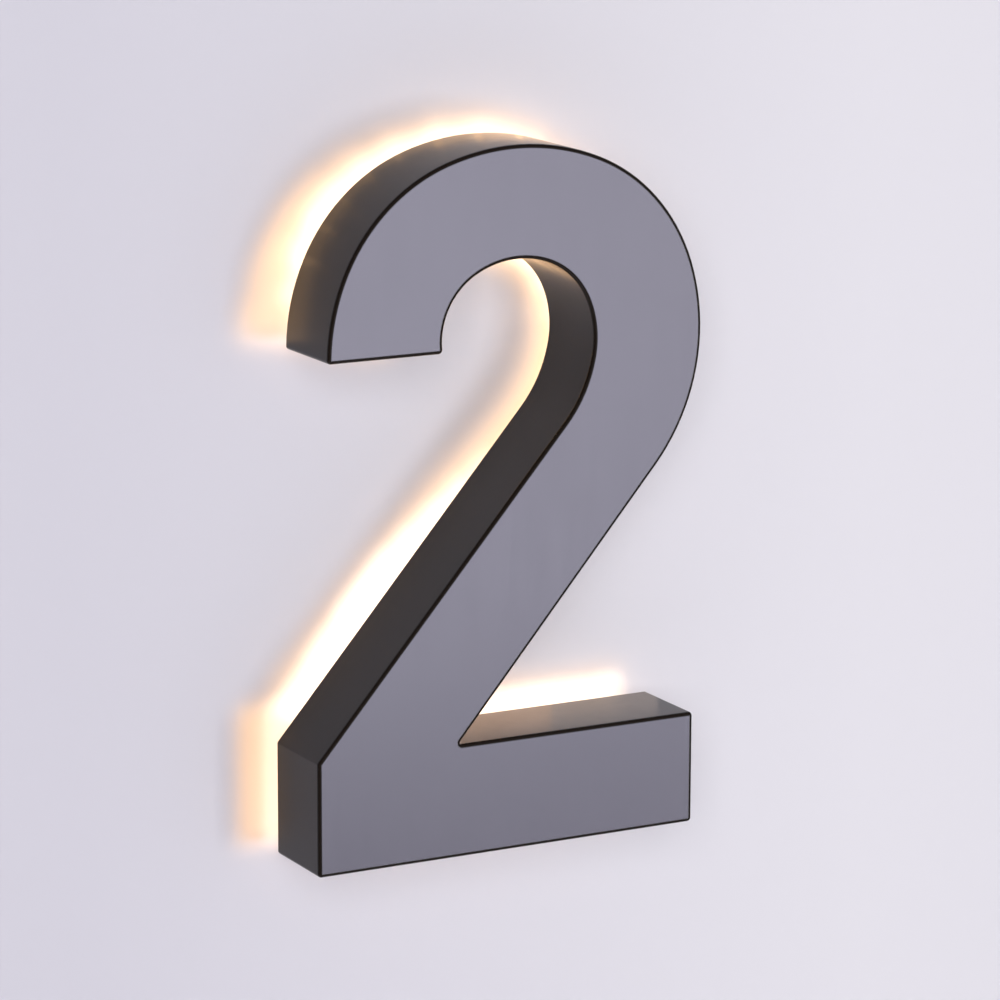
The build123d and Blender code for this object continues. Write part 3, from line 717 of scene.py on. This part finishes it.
# %% [markdown]
# ## The face plate
#
# The plate is flat sheet, sprayed satin grey. Its front edge is broken by a bevel of a sixth of a millimetre, which
# draws the hairline between grey and black.

# %% Face plate
face_plate = linked_object("face_sheet", bpy.data.meshes.new("face_sheet"))
work = merged_mesh("face_plate")
work.to_mesh(face_plate.data)
work.free()
face_plate.data.materials.append(face_grey)
smooth_shaded(face_plate, bevel=0.15 * MM, sharp=60.0)
keep(face_plate, "shell", "face_satin", "face_plate")

# %% [markdown]
# ## Threads
#
# Four studs, three grub screws and three countersunk screws hold the sign together, and all are threaded bars of
# different sizes. A thread is a cylinder whose radius falls and rises once per turn and per pitch, so it suits a tree:
# the position along the bar, plus the angle round it, says how deep the groove is. The ends are plain and chamfered.


# %% Tree: threaded bar
def build_thread_tree():
    """A threaded bar that rises along Z from the origin."""
    tree, given, put = group(
        "threaded_bar",
        "GeometryNodeTree",
        [
            ("Length", "NodeSocketFloat", 0.02),
            ("Radius", "NodeSocketFloat", 0.002),
            ("Pitch", "NodeSocketFloat", 0.0007),
            ("Groove", "NodeSocketFloat", 0.0004),
            ("Start Chamfer", "NodeSocketFloat", 0.0002),
            ("End Chamfer", "NodeSocketFloat", 0.0005),
            ("Sides", "NodeSocketInt", 24),
            ("Steps Each Turn", "NodeSocketFloat", 8.0),
            ("Metal", "NodeSocketMaterial", None),
        ],
        [("Geometry", "NodeSocketGeometry")],
    )

    turns = calc(tree, "DIVIDE", given["Length"], given["Pitch"])
    rows = calc(tree, "MULTIPLY", turns, given["Steps Each Turn"])
    bar = add(
        tree,
        "GeometryNodeMeshCylinder",
        {"Vertices": given["Sides"], "Side Segments": rows, "Radius": given["Radius"], "Depth": given["Length"]},
    )
    half = calc(tree, "MULTIPLY", given["Length"], 0.5)
    lift = add(tree, "ShaderNodeCombineXYZ", {"Z": half}).outputs[0]
    raised = add(tree, "GeometryNodeTransform", {"Geometry": bar.outputs["Mesh"], "Translation": lift})
    place = add(tree, "ShaderNodeSeparateXYZ", {0: add(tree, "GeometryNodeInputPosition").outputs[0]}).outputs
    around = calc(tree, "DIVIDE", calc(tree, "ARCTAN2", place["Y"], place["X"]), 2 * pi)
    phase = calc(tree, "SUBTRACT", calc(tree, "DIVIDE", place["Z"], given["Pitch"]), around)
    wave = calc(tree, "PINGPONG", phase, 0.5)
    groove = calc(tree, "MULTIPLY", calc(tree, "MULTIPLY", wave, 2.0), given["Groove"])
    from_end = calc(tree, "SUBTRACT", given["Length"], place["Z"])
    start_cut = calc(tree, "SUBTRACT", given["Start Chamfer"], place["Z"])
    end_cut = calc(tree, "SUBTRACT", given["End Chamfer"], from_end)
    deepest = calc(tree, "MAXIMUM", calc(tree, "MAXIMUM", groove, start_cut), end_cut)
    share = calc(tree, "SUBTRACT", 1.0, calc(tree, "DIVIDE", deepest, given["Radius"]))
    inward = add(tree, "ShaderNodeCombineXYZ", {"X": share, "Y": share, "Z": 1.0}).outputs[0]
    position = add(tree, "GeometryNodeInputPosition").outputs[0]
    moved = add(tree, "ShaderNodeVectorMath", {0: position, 1: inward}, operation="MULTIPLY").outputs[0]
    cut = add(tree, "GeometryNodeSetPosition", {"Geometry": raised.outputs[0], "Position": moved})
    real = add(tree, "GeometryNodeRealizeInstances", {"Geometry": cut.outputs[0]})
    coated = add(tree, "GeometryNodeSetMaterial", {"Geometry": real.outputs[0], "Material": given["Metal"]})
    tree.links.new(coated.outputs[0], put["Geometry"])
    return tree


thread_tree = build_thread_tree()


def threaded_bar(name, start, direction, length, radius, pitch, chamfers, metal_finish):
    """Threaded bar from a point in a direction, with a chamfer at each end."""
    sizes = {"Length": length, "Radius": radius, "Pitch": pitch, "Groove": 0.6 * pitch}
    ends = {"Start Chamfer": chamfers[0], "End Chamfer": chamfers[1]}
    bar = run_tree(thread_tree, name, {**sizes, **ends, "Metal": metal_finish})
    turn = direction.to_track_quat("Z", "Y").to_matrix().to_4x4()
    bar.data.transform(Matrix.Translation(start) @ turn)
    return bar


def joined(name, *parts):
    """One object from several, with all their faces."""
    work = bmesh.new()
    for part in parts:
        work.from_mesh(part.data)
    mesh = parts[0].data
    work.to_mesh(mesh)
    work.free()
    piece = linked_object(name, mesh)
    for part in parts:
        bpy.data.objects.remove(part)
    return piece


# %% [markdown]
# ## One shape at many places
#
# The fixings and the light modules repeat, so each shape is made once, at the origin, and a second tree sets it at
# every place. A place is a vertex that carries its own turn about the wall's normal. Nuts also get a small random turn
# each, from a fixed seed, because nobody tightens four nuts to the same angle.


# %% Tree: shape at places
def build_places_tree():
    """Sets a shape at each vertex of another object, turned as the vertex says and a little at random."""
    tree, given, put = group(
        "shape_at_places",
        "GeometryNodeTree",
        [
            ("Shape", "NodeSocketObject", None),
            ("Places", "NodeSocketObject", None),
            ("Random Turn", "NodeSocketFloat", 0.0),
            ("Seed", "NodeSocketInt", 4),
            ("Finish", "NodeSocketMaterial", None),
        ],
        [("Geometry", "NodeSocketGeometry")],
    )
    shape = add(tree, "GeometryNodeObjectInfo", {"Object": given["Shape"], "As Instance": True})
    spots = add(tree, "GeometryNodeObjectInfo", {"Object": given["Places"]})
    turn = add(tree, "GeometryNodeInputNamedAttribute", {"Name": "turn"}, data_type="FLOAT").outputs[0]
    least = calc(tree, "MULTIPLY", given["Random Turn"], -1.0)
    chance = add(
        tree,
        "FunctionNodeRandomValue",
        {2: least, 3: given["Random Turn"], "Seed": given["Seed"]},
        data_type="FLOAT",
    ).outputs[1]
    about_y = calc(tree, "MULTIPLY", calc(tree, "ADD", turn, chance), -1.0)
    rotation = add(tree, "ShaderNodeCombineXYZ", {"Y": about_y}).outputs[0]
    placed = add(
        tree,
        "GeometryNodeInstanceOnPoints",
        {"Points": spots.outputs["Geometry"], "Instance": shape.outputs["Geometry"], "Rotation": rotation},
    )
    real = add(tree, "GeometryNodeRealizeInstances", {"Geometry": placed.outputs[0]})
    finished = add(tree, "GeometryNodeSetMaterial", {"Geometry": real.outputs[0], "Material": given["Finish"]})
    tree.links.new(finished.outputs[0], put["Geometry"])
    return tree


places_tree = build_places_tree()


def places_object(name, spots):
    """Vertices at these places, each with its turn, as (place, turn)."""
    mesh = bpy.data.meshes.new(name)
    mesh.from_pydata([place for place, _ in spots], [], [])
    turns = mesh.attributes.new("turn", "FLOAT", "POINT")
    turns.data.foreach_set("value", [turn for _, turn in spots])
    return linked_object(name, mesh)


def set_at(name, shape, places, material, random_turn=0.0):
    """One piece with a shape at every place. The single shape leaves the scene."""
    inputs = {"Shape": shape, "Places": places, "Random Turn": random_turn, "Finish": material}
    piece = run_tree(places_tree, name, inputs)
    bpy.data.objects.remove(shape)
    return piece


def single(name, node_name, place, turn, bevel, material, sharp=35.0):
    """The solid of a node at a place, moved to the origin and turned back, with its edges broken."""
    work = nearest_solid(node_name, place)
    work.transform(Matrix.Rotation(turn, 4, "Y") @ Matrix.Translation(-place))
    mesh = bpy.data.meshes.new(name)
    work.to_mesh(mesh)
    work.free()
    mesh.materials.append(material)
    return smooth_shaded(linked_object(name, mesh), bevel=bevel, sharp=sharp)


# %% [markdown]
# ## Wall studs, spacers, seals, washers and nuts
#
# Each of the four studs is a machine thread in front and a coarser anchor thread in the wall. A rubber seal and an
# aluminium spacer hold the panel off the wall, and a washer and a nut clamp it.

# %% Studs and what is on them
middles = [sum(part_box(f"spacer_{number}"), Vector()) / 2 for number in range(1, 5)]
stud_spots = [(Vector((middle.x, 0.0, middle.z)), 0.0) for middle in middles]
studs_at = places_object("studs_at", stud_spots)
to_viewer = Vector((0, -1, 0))
stud_low, stud_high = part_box("wall_stud_1")
anchor_radius = (stud_high.x - stud_low.x) / 2
machine_radius, machine_pitch, machine_chamfers = 2.0 * MM, 0.7 * MM, (0, 0.5 * MM)
anchor_pitch, anchor_chamfers = 2.0 * MM, (1.5 * MM, 0.3 * MM)
machine_size = (-stud_low.y, machine_radius, machine_pitch, machine_chamfers)
machine = threaded_bar("machine", Vector(), to_viewer, *machine_size, zinc_plate)
anchor_size = (stud_high.y, anchor_radius, anchor_pitch, anchor_chamfers)
anchor = threaded_bar("anchor", Vector((0, stud_high.y, 0)), to_viewer, *anchor_size, zinc_plate)
stud = joined("stud", machine, anchor)
studs = set_at("studs", stud, studs_at, zinc_plate)
smooth_shaded(studs, sharp=30.0)
keep(studs, "wall_base", "zinc_steel", *[f"wall_stud_{number}" for number in range(1, 5)])

first_stud = stud_spots[0][0]
around_stud = [
    ("seals", "wall_seals", soft_rubber, "black_rubber", 0.2, 0.0, ["wall_seals"]),
    ("spacers", "spacer_1", turned_aluminium, "spacer_aluminium", 0.2, 0.0, [f"spacer_{n}" for n in range(1, 5)]),
    ("washers", "stud_washers", zinc_plate, "zinc_steel", 0.12, 0.0, ["stud_washers"]),
    ("nuts", "stud_nuts", zinc_plate, "zinc_steel", 0.12, 0.4, ["stud_nuts"]),
]
for name, source, material, slot, bevel, random_turn, replaced in around_stud:
    shape = single(name + "_one", source, first_stud, 0.0, bevel * MM, material)
    piece = set_at(name, shape, studs_at, material, random_turn)
    keep(piece, "wall_base", slot, *replaced)
bpy.data.objects.remove(studs_at)

# %% [markdown]
# ## Light modules
#
# Ten white modules lie along the stroke, each with two lenses. Their places and headings are read from the lenses of
# the model. One housing and one tape are then set at all ten places, and one lens at twenty.


# %% Modules
def module_spot(number):
    """Middle of a module at the wall, and its turn, from the two lenses of the model."""
    low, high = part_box(f"led_housing_{number}")
    middle = (low + high) / 2
    place = Vector((middle.x, 0.0, middle.z))
    points = [Vector((v.co.x, 0, v.co.z)) for v in nodes[f"led_lens_{number}"].data.vertices]
    far = max((point - place for point in points), key=lambda run: run.length)
    side = [point for point in points if (point - place).dot(far) > 0]
    run = sum(side, Vector()) / len(side) - place
    return place, atan2(run.z, run.x)


module_spots = [module_spot(number) for number in range(1, 11)]
modules_at = places_object("modules_at", module_spots)
place, turn = module_spots[0]
print("first module at", [round(value / MM, 2) for value in place], f"turned {degrees(turn):.1f} degrees")
module_pieces = [
    ("housings", "led_housing_1", moulded_white, "module_white", 0.25, [f"led_housing_{n}" for n in range(1, 11)]),
    ("tapes", "module_tapes", foam_cells, "foam_grey", 0.1, ["module_tapes"]),
]
for name, source, material, slot, bevel, replaced in module_pieces:
    shape = single(name + "_one", source, place, turn, bevel * MM, material)
    keep(set_at(name, shape, modules_at, material), "wall_base", slot, *replaced)
lens_offset = 4
lens_spots = []
for middle, heading in module_spots:
    along = Vector((cos(heading), 0, sin(heading))) * lens_offset * MM
    lens_spots += [(middle - along, 0.0), (middle + along, 0.0)]
lenses_at = places_object("lenses_at", lens_spots)
lens = single("lens_one", "led_lens_1", lens_spots[0][0], 0.0, 0.1 * MM, lens_glow, sharp=50.0)
lenses = set_at("lenses", lens, lenses_at, lens_glow)
keep(lenses, "wall_base", "lens_clear", *[f"led_lens_{number}" for number in range(1, 11)])
bpy.data.objects.remove(lenses_at)
bpy.data.objects.remove(modules_at)

# %% [markdown]
# ## Lock screws and block screws
#
# Three grub screws in the undersides lock the shell to blocks on the panel. Each has a hexagonal socket, and the screws
# that hold the blocks have a slotted, countersunk head in the back of the panel.


# %% Lock screws
def hex_bar(name, start, rise, across_flats):
    """Six-sided bar that rises along Z, as a cutter for a socket."""
    work = bmesh.new()
    radius = across_flats / 2 / cos(pi / 6)
    bmesh.ops.create_cone(work, cap_ends=True, segments=6, radius1=radius, radius2=radius, depth=rise)
    work.transform(Matrix.Translation(start + Vector((0, 0, rise / 2))))
    mesh = bpy.data.meshes.new(name)
    work.to_mesh(mesh)
    work.free()
    return linked_object(name, mesh)


grub_pitch, grub_chamfers = 0.5 * MM, (0.15 * MM, 0.4 * MM)
socket_below, socket_rise, socket_flats = 1 * MM, 2.6 * MM, 1.5 * MM
for number in range(1, 4):
    low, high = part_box(f"lock_screw_{number}")
    middle = (low + high) / 2
    foot = Vector((middle.x, middle.y, low.z))
    grub_size = (high.z - low.z, lock_radius, grub_pitch, grub_chamfers)
    screw = threaded_bar(f"grub_screw_{number}", foot, Vector((0, 0, 1)), *grub_size, zinc_plate)
    carve(screw, hex_bar("socket", foot - Vector((0, 0, socket_below)), socket_rise, socket_flats))
    smooth_shaded(screw, sharp=30.0)
    keep(screw, f"lock_{number}", "zinc_steel", f"lock_screw_{number}")


# %% Block screws
def countersunk_screw(name, head, length):
    """Slotted screw with a countersunk head, from the middle of its head's top towards the viewer."""
    shank_radius, head_radius = 1.25 * MM, 2.4 * MM
    pitch, chamfers, overlap = 0.45 * MM, (0, 0.3 * MM), 0.1 * MM
    slot_size = (6 * MM, 1.25 * MM, 0.625 * MM)
    head_height = head_radius - shank_radius
    neck = head + to_viewer * (head_height - overlap)
    shank_size = (length - head_height + overlap, shank_radius, pitch, chamfers)
    shank = threaded_bar(name + "_shank", neck, to_viewer, *shank_size, zinc_plate)
    work = bmesh.new()
    cone_size = {"radius1": head_radius, "radius2": shank_radius, "depth": head_height}
    bmesh.ops.create_cone(work, cap_ends=True, segments=48, **cone_size)
    turned = Matrix.Rotation(radians(90), 4, "X")
    work.transform(Matrix.Translation(head + to_viewer * (head_height / 2)) @ turned)
    mesh = bpy.data.meshes.new(name + "_head")
    work.to_mesh(mesh)
    work.free()
    mesh.materials.append(zinc_plate)
    cone = linked_object(name + "_head", mesh)
    slot_mesh = bpy.data.meshes.new("slot")
    work = bmesh.new()
    bmesh.ops.create_cube(work, size=1.0)
    work.transform(Matrix.Translation(head) @ Matrix.Diagonal((*slot_size, 1)))
    work.to_mesh(slot_mesh)
    work.free()
    carve(cone, linked_object("slot", slot_mesh))
    return joined(name, cone, shank)


screw_low, screw_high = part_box("block_screws")
screws = []
for number in range(1, 4):
    low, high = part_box(f"clamp_block_{number}")
    middle = (low + high) / 2
    head = Vector((middle.x, screw_high.y, middle.z))
    screws.append(countersunk_screw(f"block_screw_{number}", head, screw_high.y - screw_low.y))
block_screws = smooth_shaded(joined("countersunk_screws", *screws), sharp=30.0)
keep(block_screws, "wall_base", "zinc_steel", "block_screws")

# %% [markdown]
# ## The rest of the fittings
#
# The panel, the blocks, the tabs and the terminal block already have the right shape. Each gets a merged copy with its
# edges broken by a bevel of one or two tenths of a millimetre. Wires, boards and grommet are round or hidden enough to
# keep the model's own mesh, and take a better finish.

# %% Bevelled copies
bevelled = [
    ("opal_sheet", "wall_base", "opal_acrylic", opal_glow, 0.25, ["back_panel"]),
    ("clamp_blocks", "wall_base", "block_aluminium", milled_aluminium, 0.15, [f"clamp_block_{n}" for n in range(1, 4)]),
    ("connector", "wall_base", "block_plastic", connector_ivory, 0.2, ["terminal_block"]),
    ("connector_screws", "wall_base", "brass", screw_brass, 0.08, ["terminal_screws"]),
    ("tabs", "shell", "white_enamel", lining_white, 0.12, ["face_tabs"]),
    ("welded_nuts", "shell", "zinc_steel", zinc_plate, 0.12, ["weld_nuts"]),
]
for name, body, slot, material, bevel, replaced in bevelled:
    piece = linked_object(name, bpy.data.meshes.new(name))
    work = merged_mesh(*replaced)
    work.to_mesh(piece.data)
    work.free()
    piece.data.materials.clear()
    piece.data.materials.append(material)
    smooth_shaded(piece, bevel=bevel * MM)
    keep(piece, body, slot, *replaced)

# %% Finishes on the model's own meshes
own_finish = {
    "led_boards": board_and_chips,
    "cable_grommet": soft_rubber,
    "wire_red_stroke": insulation_red,
    "wire_red_foot": insulation_red,
    "wire_black_stroke": insulation_black,
    "wire_black_foot": insulation_black,
}
for node_name, material in own_finish.items():
    for slot in nodes[node_name].material_slots:
        slot.link = "OBJECT"
        slot.material = material
    print(node_name, "takes", material.name)

# %% [markdown]
# ## The wall and the floor
#
# The wall is the stage, not part of the sign, but the halo needs it. It is pale paint with painted light on it: a
# shaded left that brightens towards the right, where the room's light falls. Seen from behind it lets the view
# through, so that the back of the sign can be looked at as well.


# %% Wall and floor
def paint_with_painted_light_ramp(name, shaded_left_color, lit_right_color, one_sided):
    """Matt paint with a painted light ramp: shaded on the left, lighter on the right. Equal colours make it plain."""
    material, tree, shader = principled(name)
    across = add(tree, "ShaderNodeSeparateXYZ", {0: object_place(tree)}).outputs["X"]
    # Painted light: the colour brightens from left to right across the wall, as the room's light falls on it.
    color = blended(tree, ranged(tree, across, -0.12, 0.14), shaded_left_color, lit_right_color)
    fill(tree, shader, {"Base Color": color, "Roughness": 0.9, "Specular IOR Level": 0.1})
    if one_sided:
        behind = add(tree, "ShaderNodeNewGeometry").outputs["Backfacing"]
        clear = add(tree, "ShaderNodeBsdfTransparent").outputs[0]
        mixed = add(tree, "ShaderNodeMixShader", {"Fac": behind, 1: shader.outputs[0], 2: clear})
        tree.links.new(mixed.outputs[0], tree.nodes["Material Output"].inputs["Surface"])
    return material


def sheet_object(name, corners, material):
    """Flat stage surface with four corners, which faces the side where they run anticlockwise."""
    mesh = bpy.data.meshes.new(name)
    mesh.from_pydata(corners, [], [(0, 1, 2, 3)])
    mesh.materials.append(material)
    piece = linked_object(name, mesh)
    return piece


stage_half = 4.0
floor_level = -1.0
floor_reach = 3.15
# The wall's two colours are painted light: shade on its left, brighter room light on its right.
wall_paint = paint_with_painted_light_ramp("wall_paint", (0.7, 0.68, 0.76, 1), (0.84, 0.82, 0.88, 1), True)
floor_paint = paint_with_painted_light_ramp("floor_paint", (0.75, 0.74, 0.77, 1), (0.75, 0.74, 0.77, 1), False)
wall_corners = [
    (-stage_half, 0, floor_level),
    (stage_half, 0, floor_level),
    (stage_half, 0, stage_half),
    (-stage_half, 0, stage_half),
]
floor_corners = [
    (-stage_half, -floor_reach, floor_level),
    (stage_half, -floor_reach, floor_level),
    (stage_half, 0, floor_level),
    (-stage_half, 0, floor_level),
]
sheet_object("wall", wall_corners, wall_paint)
sheet_object("floor", floor_corners, floor_paint)


# %% [markdown]
# ## Light
#
# The room's light is soft and comes from in front: the wall near the number is as bright as far away, and only a narrow
# band beside it is in shade. So the world is brightest ahead and fades towards the sides, and the camera sees a pale
# backdrop in its place. Three lamps help. The window, on the right and a little low, makes the narrow shade on the
# number's left. The fill stands beside the camera, so that its own shadow is hidden behind the number. The low lamp
# shines down on the floor's front edge, which the grey face mirrors. The first two stay out of mirror images.


# %% World
def build_world():
    """Pale surroundings: a plain backdrop for the camera, and light that fades away from an axis."""
    world = bpy.data.worlds.new("studio")
    world.use_nodes = True
    tree = world.node_tree
    light = tree.nodes["Background"]
    direction = add(tree, "ShaderNodeTexCoord").outputs["Generated"]
    ahead = add(tree, "ShaderNodeVectorMath", {0: direction, 1: light_axis}, operation="DOT_PRODUCT").outputs["Value"]
    strength = ranged(tree, calc(tree, "POWER", ahead, light_focus), 0.0, 1.0, world_levels)
    fill(tree, light, {"Color": (1.0, 0.985, 1.0, 1.0), "Strength": strength})
    backdrop = add(tree, "ShaderNodeBackground", {"Color": (0.8, 0.79, 0.83, 1.0), "Strength": 1.0})
    seen = add(tree, "ShaderNodeLightPath").outputs["Is Camera Ray"]
    mixed = add(tree, "ShaderNodeMixShader", {"Fac": seen, 1: light.outputs[0], 2: backdrop.outputs[0]})
    tree.links.new(mixed.outputs[0], tree.nodes["World Output"].inputs["Surface"])
    scene.world = world


light_axis = Vector((0.36, -0.9, -0.2)).normalized()
light_focus = 6.0
world_levels = (0.1, 1.0)
build_world()


def area_lamp(name, place, look_at, size, watts):
    """Square soft lamp that faces a point."""
    data = bpy.data.lights.new(name, "AREA")
    data.shape = "SQUARE"
    data.size = size
    data.energy = watts
    lamp = bpy.data.objects.new(name, data)
    scene.collection.objects.link(lamp)
    lamp.location = place
    lamp.rotation_mode = "QUATERNION"
    lamp.rotation_quaternion = (Vector(look_at) - lamp.location).to_track_quat("-Z", "Y")
    lamp.visible_camera = False
    return lamp


number_middle = (0.0, 0.0, 0.0)
window = area_lamp("window", (0.42, -1.95, -0.2), number_middle, 0.5, 13.0)
fill_lamp = area_lamp("fill", (-1.0, -1.9, 0.6), number_middle, 1.0, 19.0)
window.visible_glossy = fill_lamp.visible_glossy = False
low_lamp = area_lamp("low", (2.0, -2.6, 0.1), (2.0, -2.6, floor_level), 1.8, 5.5)
low_lamp.data.spread = radians(100)

# %% [markdown]
# ## The halo
#
# On the real sign the opal sheet in the back of the can lights the wall. The photograph's halo is wide in some places
# and narrow in others, so most of it comes here from lamps in the gap behind the sheet. Each is a small rectangle
# across the stroke, and together they follow it from the knee up the diagonal and round to the free end of the bowl. A
# wide amber one makes the halo's rim, and a whiter one that shines less far sideways makes its bright core. Their
# widths and levels were tried out against the photograph, part by part. A second kind of lamp lies on the wall and
# lights nothing matt. It only shows in the gloss paint near the wall, as the mirror image of the lit wall.


# %% Halo lamps
def between(one, other, share):
    """Place on the smooth curve between two places with headings, as seen from the front."""
    (start, turn), (end, next_turn) = one, other
    gap = (end - start).length
    lead = Vector((cos(turn), 0, sin(turn))) * gap
    follow = Vector((cos(next_turn), 0, sin(next_turn))) * gap
    blend = share * share * (3 - 2 * share)
    bows = lead * (share * (1 - share) ** 2) + follow * (share * share * (share - 1))
    return start * (1 - blend) + end * blend + bows


def facing_on(spots):
    """The same spots with each heading turned to point at the next spot."""
    turned = []
    for index, (place, turn) in enumerate(spots):
        before, after = spots[max(index - 1, 0)][0], spots[min(index + 1, len(spots) - 1)][0]
        run = after - before
        backwards = run.x * cos(turn) + run.z * sin(turn) < 0
        turned.append((place, turn + pi if backwards else turn))
    return turned


def halo_lamp(name, start, end, width, level, color, spread, stretch=1.0):
    """Lamp in the gap that faces the wall, from one point of the stroke's middle to another.

    Lamps that overlap in one plane hide each other's light, so each lies a little nearer the wall than the last.
    """
    depth = Vector((0, len(halo_lamps) * lamp_step - wall_gap + lamp_inset, 0))
    run = end - start
    data = bpy.data.lights.new(name, "AREA")
    data.shape = "RECTANGLE"
    data.size, data.size_y = run.length * stretch, width
    data.energy = level * data.size * data.size_y
    data.color = color
    data.spread = radians(spread)
    lamp = bpy.data.objects.new(name, data)
    scene.collection.objects.link(lamp)
    along = run.normalized()
    axes = Matrix((along, to_viewer.cross(along), to_viewer)).transposed().to_4x4()
    lamp.matrix_world = Matrix.Translation((start + end) / 2 + depth) @ axes
    lamp.visible_camera = False
    halo_lamps.append(lamp)


def wall_glow(name, start, end, width, level, color, stretch=1.0):
    """The lit wall as the gloss paint mirrors it: a lamp on the wall that faces the viewer and lights nothing matt."""
    halo_lamp(name, start, end, width, level, color, all_round, stretch)
    lamp = halo_lamps[-1]
    lamp.location.y = -off_wall
    lamp.rotation_euler.rotate_axis("X", pi)
    lamp.visible_diffuse = False


def halo_run(name, start, end, amber_width, amber_level, white_width, white_level, stretch=1.0):
    """A wide amber lamp for the halo's rim, and a whiter one with less spread for its bright core."""
    halo_lamp(name + "_amber", start, end, amber_width * MM, amber_level, amber, amber_spread, stretch)
    halo_lamp(name + "_white", start, end, white_width * MM, white_level, warm_white, white_spread, stretch)


halo_lamps = []
lamp_step, lamp_inset, off_wall = 0.02 * MM, 0.5 * MM, 0.2 * MM
amber, warm_white, deep_amber = (1.0, 0.55, 0.14), (1.0, 0.87, 0.72), (1.0, 0.48, 0.03)
amber_spread, white_spread, deep_spread, all_round = 84.0, 54.0, 70.0, 180.0

# %% Halo along the stroke
knee_reach, tip_inset = 44, 10
stroke = facing_on(module_spots[:8])
first_place, first_turn = stroke[0]
knee = first_place - Vector((cos(first_turn), 0, sin(first_turn))) * knee_reach * MM
tip = Vector((stroke[-1][0].x - tip_inset * MM, 0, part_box("return_terminal")[0].z))
line = [(knee, first_turn), *stroke, (tip, radians(-90))]
# Width in mm and level of the amber lamp, then of the white one, from the knee round to the free end.
glow = [
    (42, 3.2, 33, 4.0),
    (40, 3.2, 38, 4.5),
    (35, 3.2, 27, 3.4),
    (26, 3.0, 12, 3.0),
    (25, 3.2, 13, 3.2),
    (31, 3.2, 28, 3.2),
    (39, 3.0, 35, 3.2),
    (35, 3.0, 30, 2.7),
    (47, 3.4, 34, 2.4),
    (47, 3.0, 14, 2.4),
]
lamps_in_gap = 3
first_on_arc, arc_stretch = 6, 1.45
first_mirrored, mirror_overhang, mirror_level, mirror_stretch = 2, 7, 2.6, 1.7
for index, (one, other) in enumerate(zip(line, line[1:])):
    for part in range(lamps_in_gap):
        start, end = (between(one, other, step / lamps_in_gap) for step in (part, part + 1))
        share = (part + 0.5) / lamps_in_gap
        sizes = [here * (1 - share) + there * share for here, there in zip(glow[index], glow[index + 1])]
        halo_run(f"halo_{index}_{part}", start, end, *sizes, arc_stretch if index >= first_on_arc else 1.0)
        if index >= first_mirrored:
            width = (sizes[0] + mirror_overhang) * MM
            wall_glow(f"glow_{index}_{part}", start, end, width, mirror_level, (1.0, 0.56, 0.22), mirror_stretch)

# %% Halo along the foot
foot_low, foot_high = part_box("return_base")
foot_level = (foot_low.z + foot_high.z) / 2
foot_width = (foot_high.z - foot_low.z) / MM


def foot_point(x, rise=0.0):
    """Place on the foot's middle line, or so far above it."""
    return Vector((x, 0, foot_level + rise))


foot_split = foot_low.x + 36 * MM
halo_run("halo_foot_right", foot_point(foot_split), foot_point(foot_high.x - 3 * MM), foot_width + 8, 2.2,
         foot_width + 4, 3.6)
left_rise, left_width = 4 * MM, (foot_width + 8) * MM
left_end = foot_point(foot_split, left_rise)
amber_start = foot_point(foot_low.x - 6.5 * MM, left_rise)
white_start = foot_point(foot_low.x + 2 * MM, left_rise)
halo_lamp("halo_foot_left_amber", amber_start, left_end, left_width, 2.5, deep_amber, deep_spread)
halo_lamp("halo_foot_left_white", white_start, left_end, left_width, 2.0, warm_white, white_spread)
ledge_width = 11 * MM
ledge = [Vector((foot_low.x + reach * MM, 0, foot_high.z + 5 * MM)) for reach in (44, 94, 130)]
wall_glow("glow_ledge_left", ledge[0], ledge[1], ledge_width, 3.2, (1.0, 0.6, 0.36))
wall_glow("glow_ledge_right", ledge[1], ledge[2], ledge_width, 1.6, (1.0, 0.75, 0.6))
print(len(halo_lamps), "halo lamps")

scene.view_settings.view_transform = "Standard"
